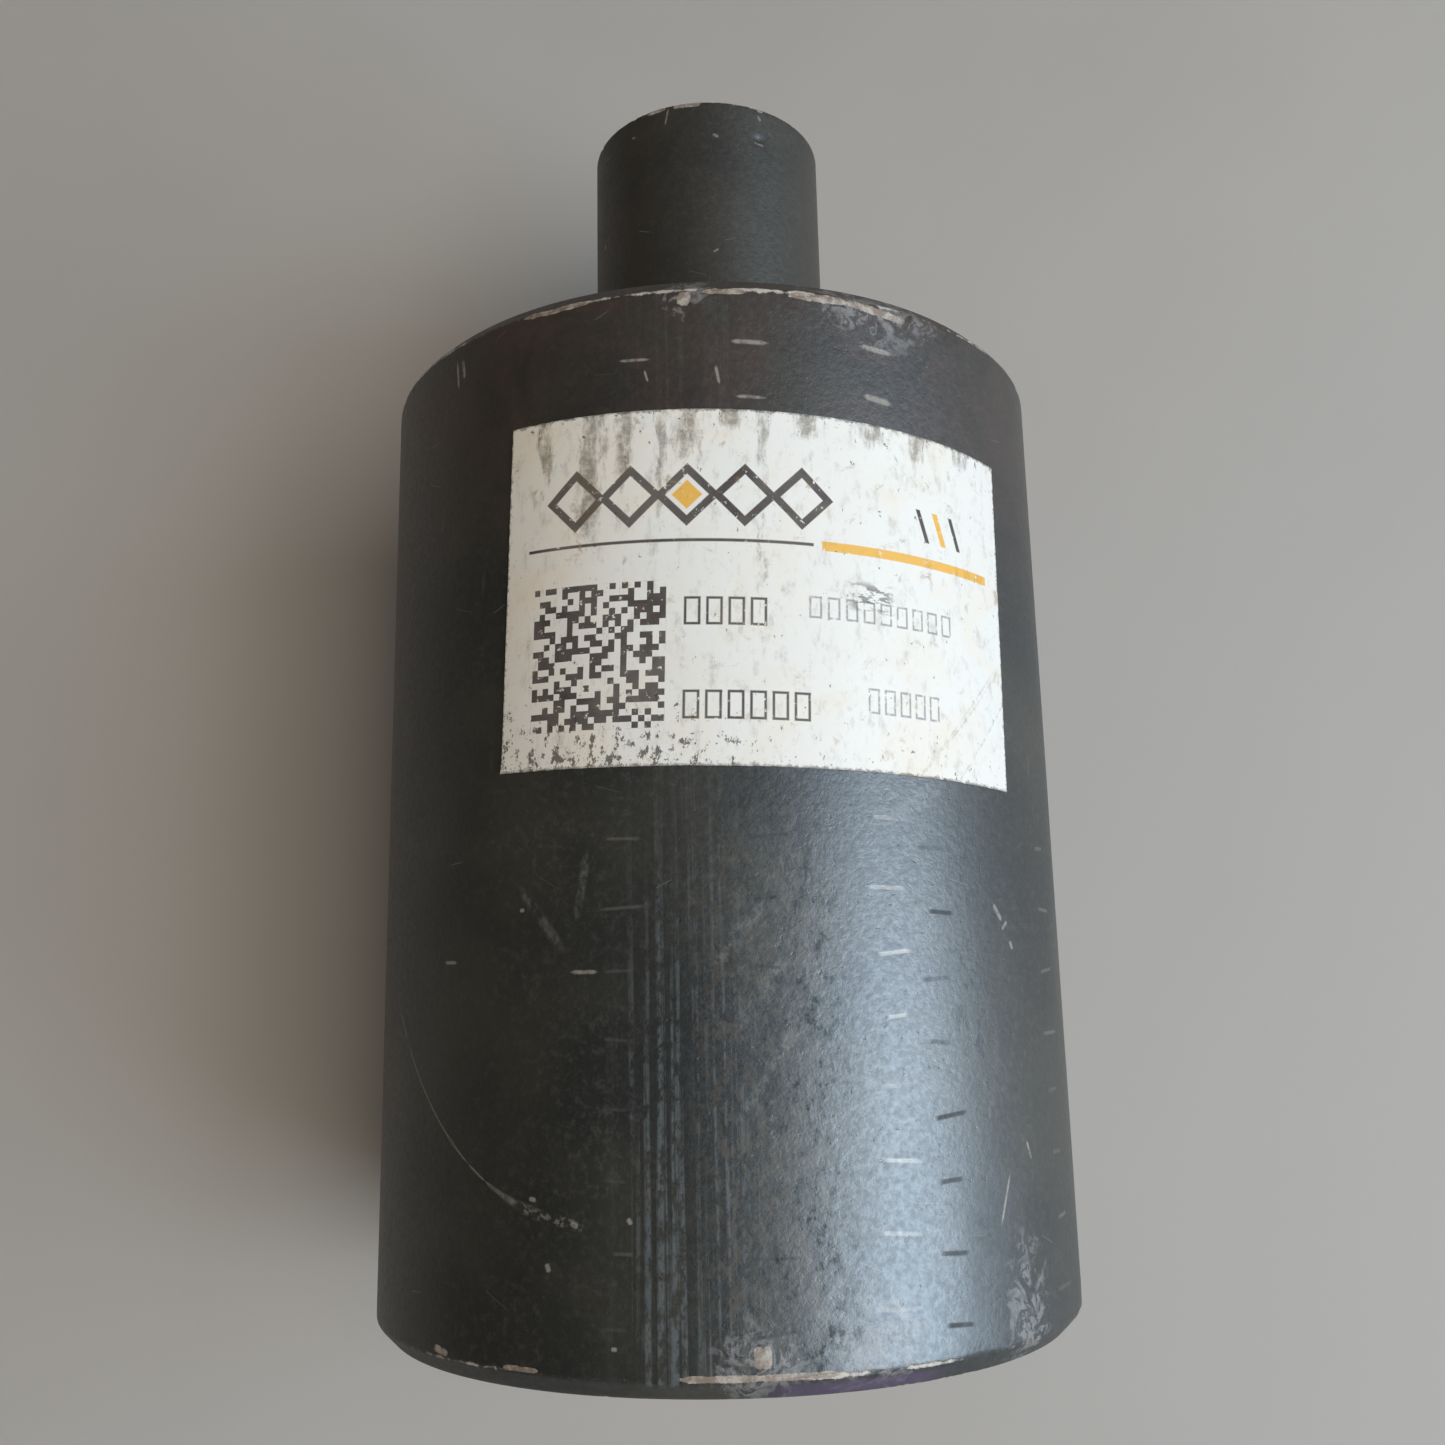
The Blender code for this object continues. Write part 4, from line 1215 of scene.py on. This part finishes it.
def label_piece():
    """A thin sheet that follows the tread, with slightly ragged edges and a lifted corner."""
    columns, rows, lift, thickness = 150, 96, 0.03, 0.12
    corner_across, corner_down = -29.0, 18.5
    crease_across, crease_down = 24.5, 12.0
    c, s = math.cos(LABEL_TURN), math.sin(LABEL_TURN)
    verts = []
    for top in (lift, lift + thickness):
        for j in range(rows + 1):
            for i in range(columns + 1):
                across = (i / columns - 0.5) * (LABEL_WIDTH - 0.5)
                down = (j / rows - 0.5) * (LABEL_HEIGHT - 0.3)
                pull = 0.1 * abs(noise.noise((across * 0.9, down * 0.9, 4.0)))
                if i in (0, columns):
                    across -= math.copysign(pull, across)
                if j in (0, rows):
                    down -= math.copysign(pull, down)
                to_corner = math.hypot(across - corner_across, down - corner_down)
                corner = max(0.0, 1 - to_corner / 4.0)
                below = down - crease_down
                crease = max(0.0, 1 - abs(across - crease_across + below * 0.5) / 0.7)
                crease *= max(0.0, 1 - abs(below) / 7.0)
                bubble = 0.02 * (1 + noise.noise((across / 5, down / 5, 1.0)))
                radius = TREAD_R + top + bubble + 0.18 * corner**2 + 0.07 * crease
                angle = LABEL_CENTRE + (across * c - down * s) / TREAD_R
                verts.append(point(LABEL_MID + across * s + down * c, radius, angle))
    wide = columns + 1
    sheet = wide * (rows + 1)
    faces = []
    for j in range(rows):
        for i in range(columns):
            a = j * wide + i
            quad = (a, a + 1, a + 1 + wide, a + wide)
            faces.append(quad[::-1])
            faces.append(tuple(v + sheet for v in quad))
    rim = list(range(wide))
    rim += [j * wide + columns for j in range(1, rows + 1)]
    rim += [rows * wide + i for i in range(columns - 1, -1, -1)]
    rim += [j * wide for j in range(rows - 1, 0, -1)]
    for a, b in zip(rim, rim[1:] + rim[:1]):
        faces.append((a, b, b + sheet, a + sheet))
    return new_piece("label_sheet", verts, faces, 50.0)


# ---------------------------------------------------------------- putting it together
def install(piece, body, look, *nodes):
    """Gives a new piece its look and its body, in the place of CAD nodes."""
    piece.data.materials.clear()
    piece.data.materials.append(look.material)
    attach(piece, body)
    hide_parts(*nodes)


def smooth_tree():
    """Geometry nodes that shade a CAD node smooth, except over its sharp edges."""
    tree = bpy.data.node_groups.new("smooth_shading", "GeometryNodeTree")
    tree.interface.new_socket("Geometry", in_out="INPUT", socket_type="NodeSocketGeometry")
    tree.interface.new_socket("Geometry", in_out="OUTPUT", socket_type="NodeSocketGeometry")
    t = Tree(tree)
    given, result = t.add("NodeGroupInput"), t.add("NodeGroupOutput")
    welded = t.add(
        "GeometryNodeMergeByDistance", {"Geometry": given.outputs[0], "Distance": WELD}
    )
    smooth = t.add("GeometryNodeSetShadeSmooth", [welded.outputs[0]], domain="FACE")
    angle = t.add("GeometryNodeInputMeshEdgeAngle").outputs[0]
    sharp = t.add("FunctionNodeCompare", (angle, math.radians(33.0)), operation="GREATER_THAN")
    edges = t.add(
        "GeometryNodeSetShadeSmooth",
        {"Geometry": smooth.outputs[0], "Selection": sharp.outputs[0], "Shade Smooth": False},
        domain="EDGE",
    )
    put(result.inputs[0], edges.outputs[0])
    return tree


def make_camera():
    camera = new_object("camera", bpy.data.cameras.new("camera"))
    camera.data.lens = 35.02
    camera.data.sensor_width = 36.0
    camera.data.clip_start = 0.01
    camera.location = (0.0006, -0.1141, 0.1741)
    tilt = Matrix.Rotation(math.radians(11.76), 4, "X")
    roll = Matrix.Rotation(math.radians(-1.21), 4, "Z")
    camera.matrix_world = Matrix.Translation(camera.location) @ tilt @ roll
    bpy.context.scene.camera = camera


LIGHTS_AIM_Y = -0.09  # metres


def soft_light(name, azimuth, elevation, distance, width, height, radiance, colour):
    """An area light that faces the roller. Azimuth 0 is -Y and 90 degrees is +X."""
    a, e = math.radians(azimuth), math.radians(elevation)
    away = Vector((math.sin(a) * math.cos(e), -math.cos(a) * math.cos(e), math.sin(e)))
    lamp = bpy.data.lights.new(name, "AREA")
    lamp.shape = "RECTANGLE"
    lamp.size, lamp.size_y = width, height
    lamp.energy = radiance * math.pi * width * height
    lamp.color = colour
    made = new_object(name, lamp)
    made.location = Vector((0, LIGHTS_AIM_Y, 0)) + away * distance
    made.rotation_euler = away.to_track_quat("Z", "Y").to_euler()
    made.visible_camera = False
    return made


FLOOR_DARK = (0.40, 0.375, 0.35)
FLOOR_LIGHT = (0.45, 0.425, 0.395)


def make_studio():
    """A pale floor that curves up into a low wall all round."""
    reach, bend, wall, segments, steps = 2.4, 0.5, 0.9, 96, 8  # metres, and counts
    profile = [(0.0, 0.0), (reach, 0.0)]
    for k in range(1, steps + 1):
        turn = math.pi / 2 * k / steps
        profile.append((reach + bend * math.sin(turn), bend * (1 - math.cos(turn))))
    profile.append((reach + bend, bend + wall))
    verts, faces = [(0.0, 0.0, FLOOR_Z)], []
    for radius, height in profile[1:]:
        for k in range(segments):
            a = TURN * k / segments
            verts.append((radius * math.cos(a), radius * math.sin(a), FLOOR_Z + height))
    for k in range(segments):
        n = (k + 1) % segments
        faces.append((0, 1 + k, 1 + n))
        for row in range(len(profile) - 2):
            near, far = 1 + row * segments, 1 + (row + 1) * segments
            faces.append((near + k, far + k, far + n, near + n))
    studio = new_piece("floor", verts, faces, 60.0)
    look = Look("floor_matt")
    cloud = look.noise(look.here, 60.0, 3.0)
    look.colour = look.mix(cloud, FLOOR_DARK, FLOOR_LIGHT)
    look.height(look.noise(look.here, 2.0, 2.0), 0.02)
    look.done(look.ramp(cloud, 0.0, 1.0, 0.7, 0.8))
    studio.data.materials.append(look.material)


def make_lights():
    """A key light, a twin of it that only mirrors, and a fill that only lights matt surfaces."""
    world = bpy.data.worlds.new("studio")
    world.use_nodes = True
    back = world.node_tree.nodes["Background"]
    back.inputs["Color"].default_value = (1.0, 0.95, 0.86, 1.0)
    back.inputs["Strength"].default_value = 0.09
    bpy.context.scene.world = world
    bpy.context.scene.view_settings.view_transform = "Standard"
    cool = (0.80, 1.0, 1.20)
    soft_light("key", 75.0, 38.0, 1.1, 0.85, 0.85, 3.4, cool)
    sheen = soft_light("key_sheen", 76.0, 34.0, 1.05, 0.75, 0.60, 12.4, cool)
    sheen.visible_diffuse = False
    fill = soft_light("fill", 60.0, 66.0, 1.4, 0.9, 0.9, 4.2, (1.10, 1.0, 0.88))
    fill.visible_glossy = False


paint = shell_paint()
shaft_look = shaft_paint()
cover_look = cover_paint()
looks = {slot: metal(slot, *row) for slot, row in METALS.items()}
looks.update({slot: moulded(slot, *row) for slot, row in MOULDINGS.items()})
paper = label_paper()

install(shell_piece(), "roller", paint, "roller_shell")
install(shaft_piece(), "axle", shaft_look, "axle_shaft")
install(collar_piece(), "axle", shaft_look, "seal_collar")
install(cover_piece(), "roller", cover_look, "end_cover")
install(sealing_ring_piece(), "roller", looks["copper"], "plug_sealing_ring")
install(bevelled_copy("cover_circlip"), "roller", looks["spring_steel"], "cover_circlip")
install(bevelled_copy("filler_plug"), "roller", looks["machined_steel"], "filler_plug")
install(label_piece(), "roller", paper, "spec_label")

# the CAD nodes that stay in view
smoothing = smooth_tree()
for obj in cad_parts.values():
    if obj.hide_render:
        continue
    given = obj.material_slots[0]
    look = next(looks[slot] for slot in looks if given.name.startswith(slot))
    given.material = look.material
    obj.modifiers.new("smooth", "NODES").node_group = smoothing

make_camera()
make_studio()
make_lights()
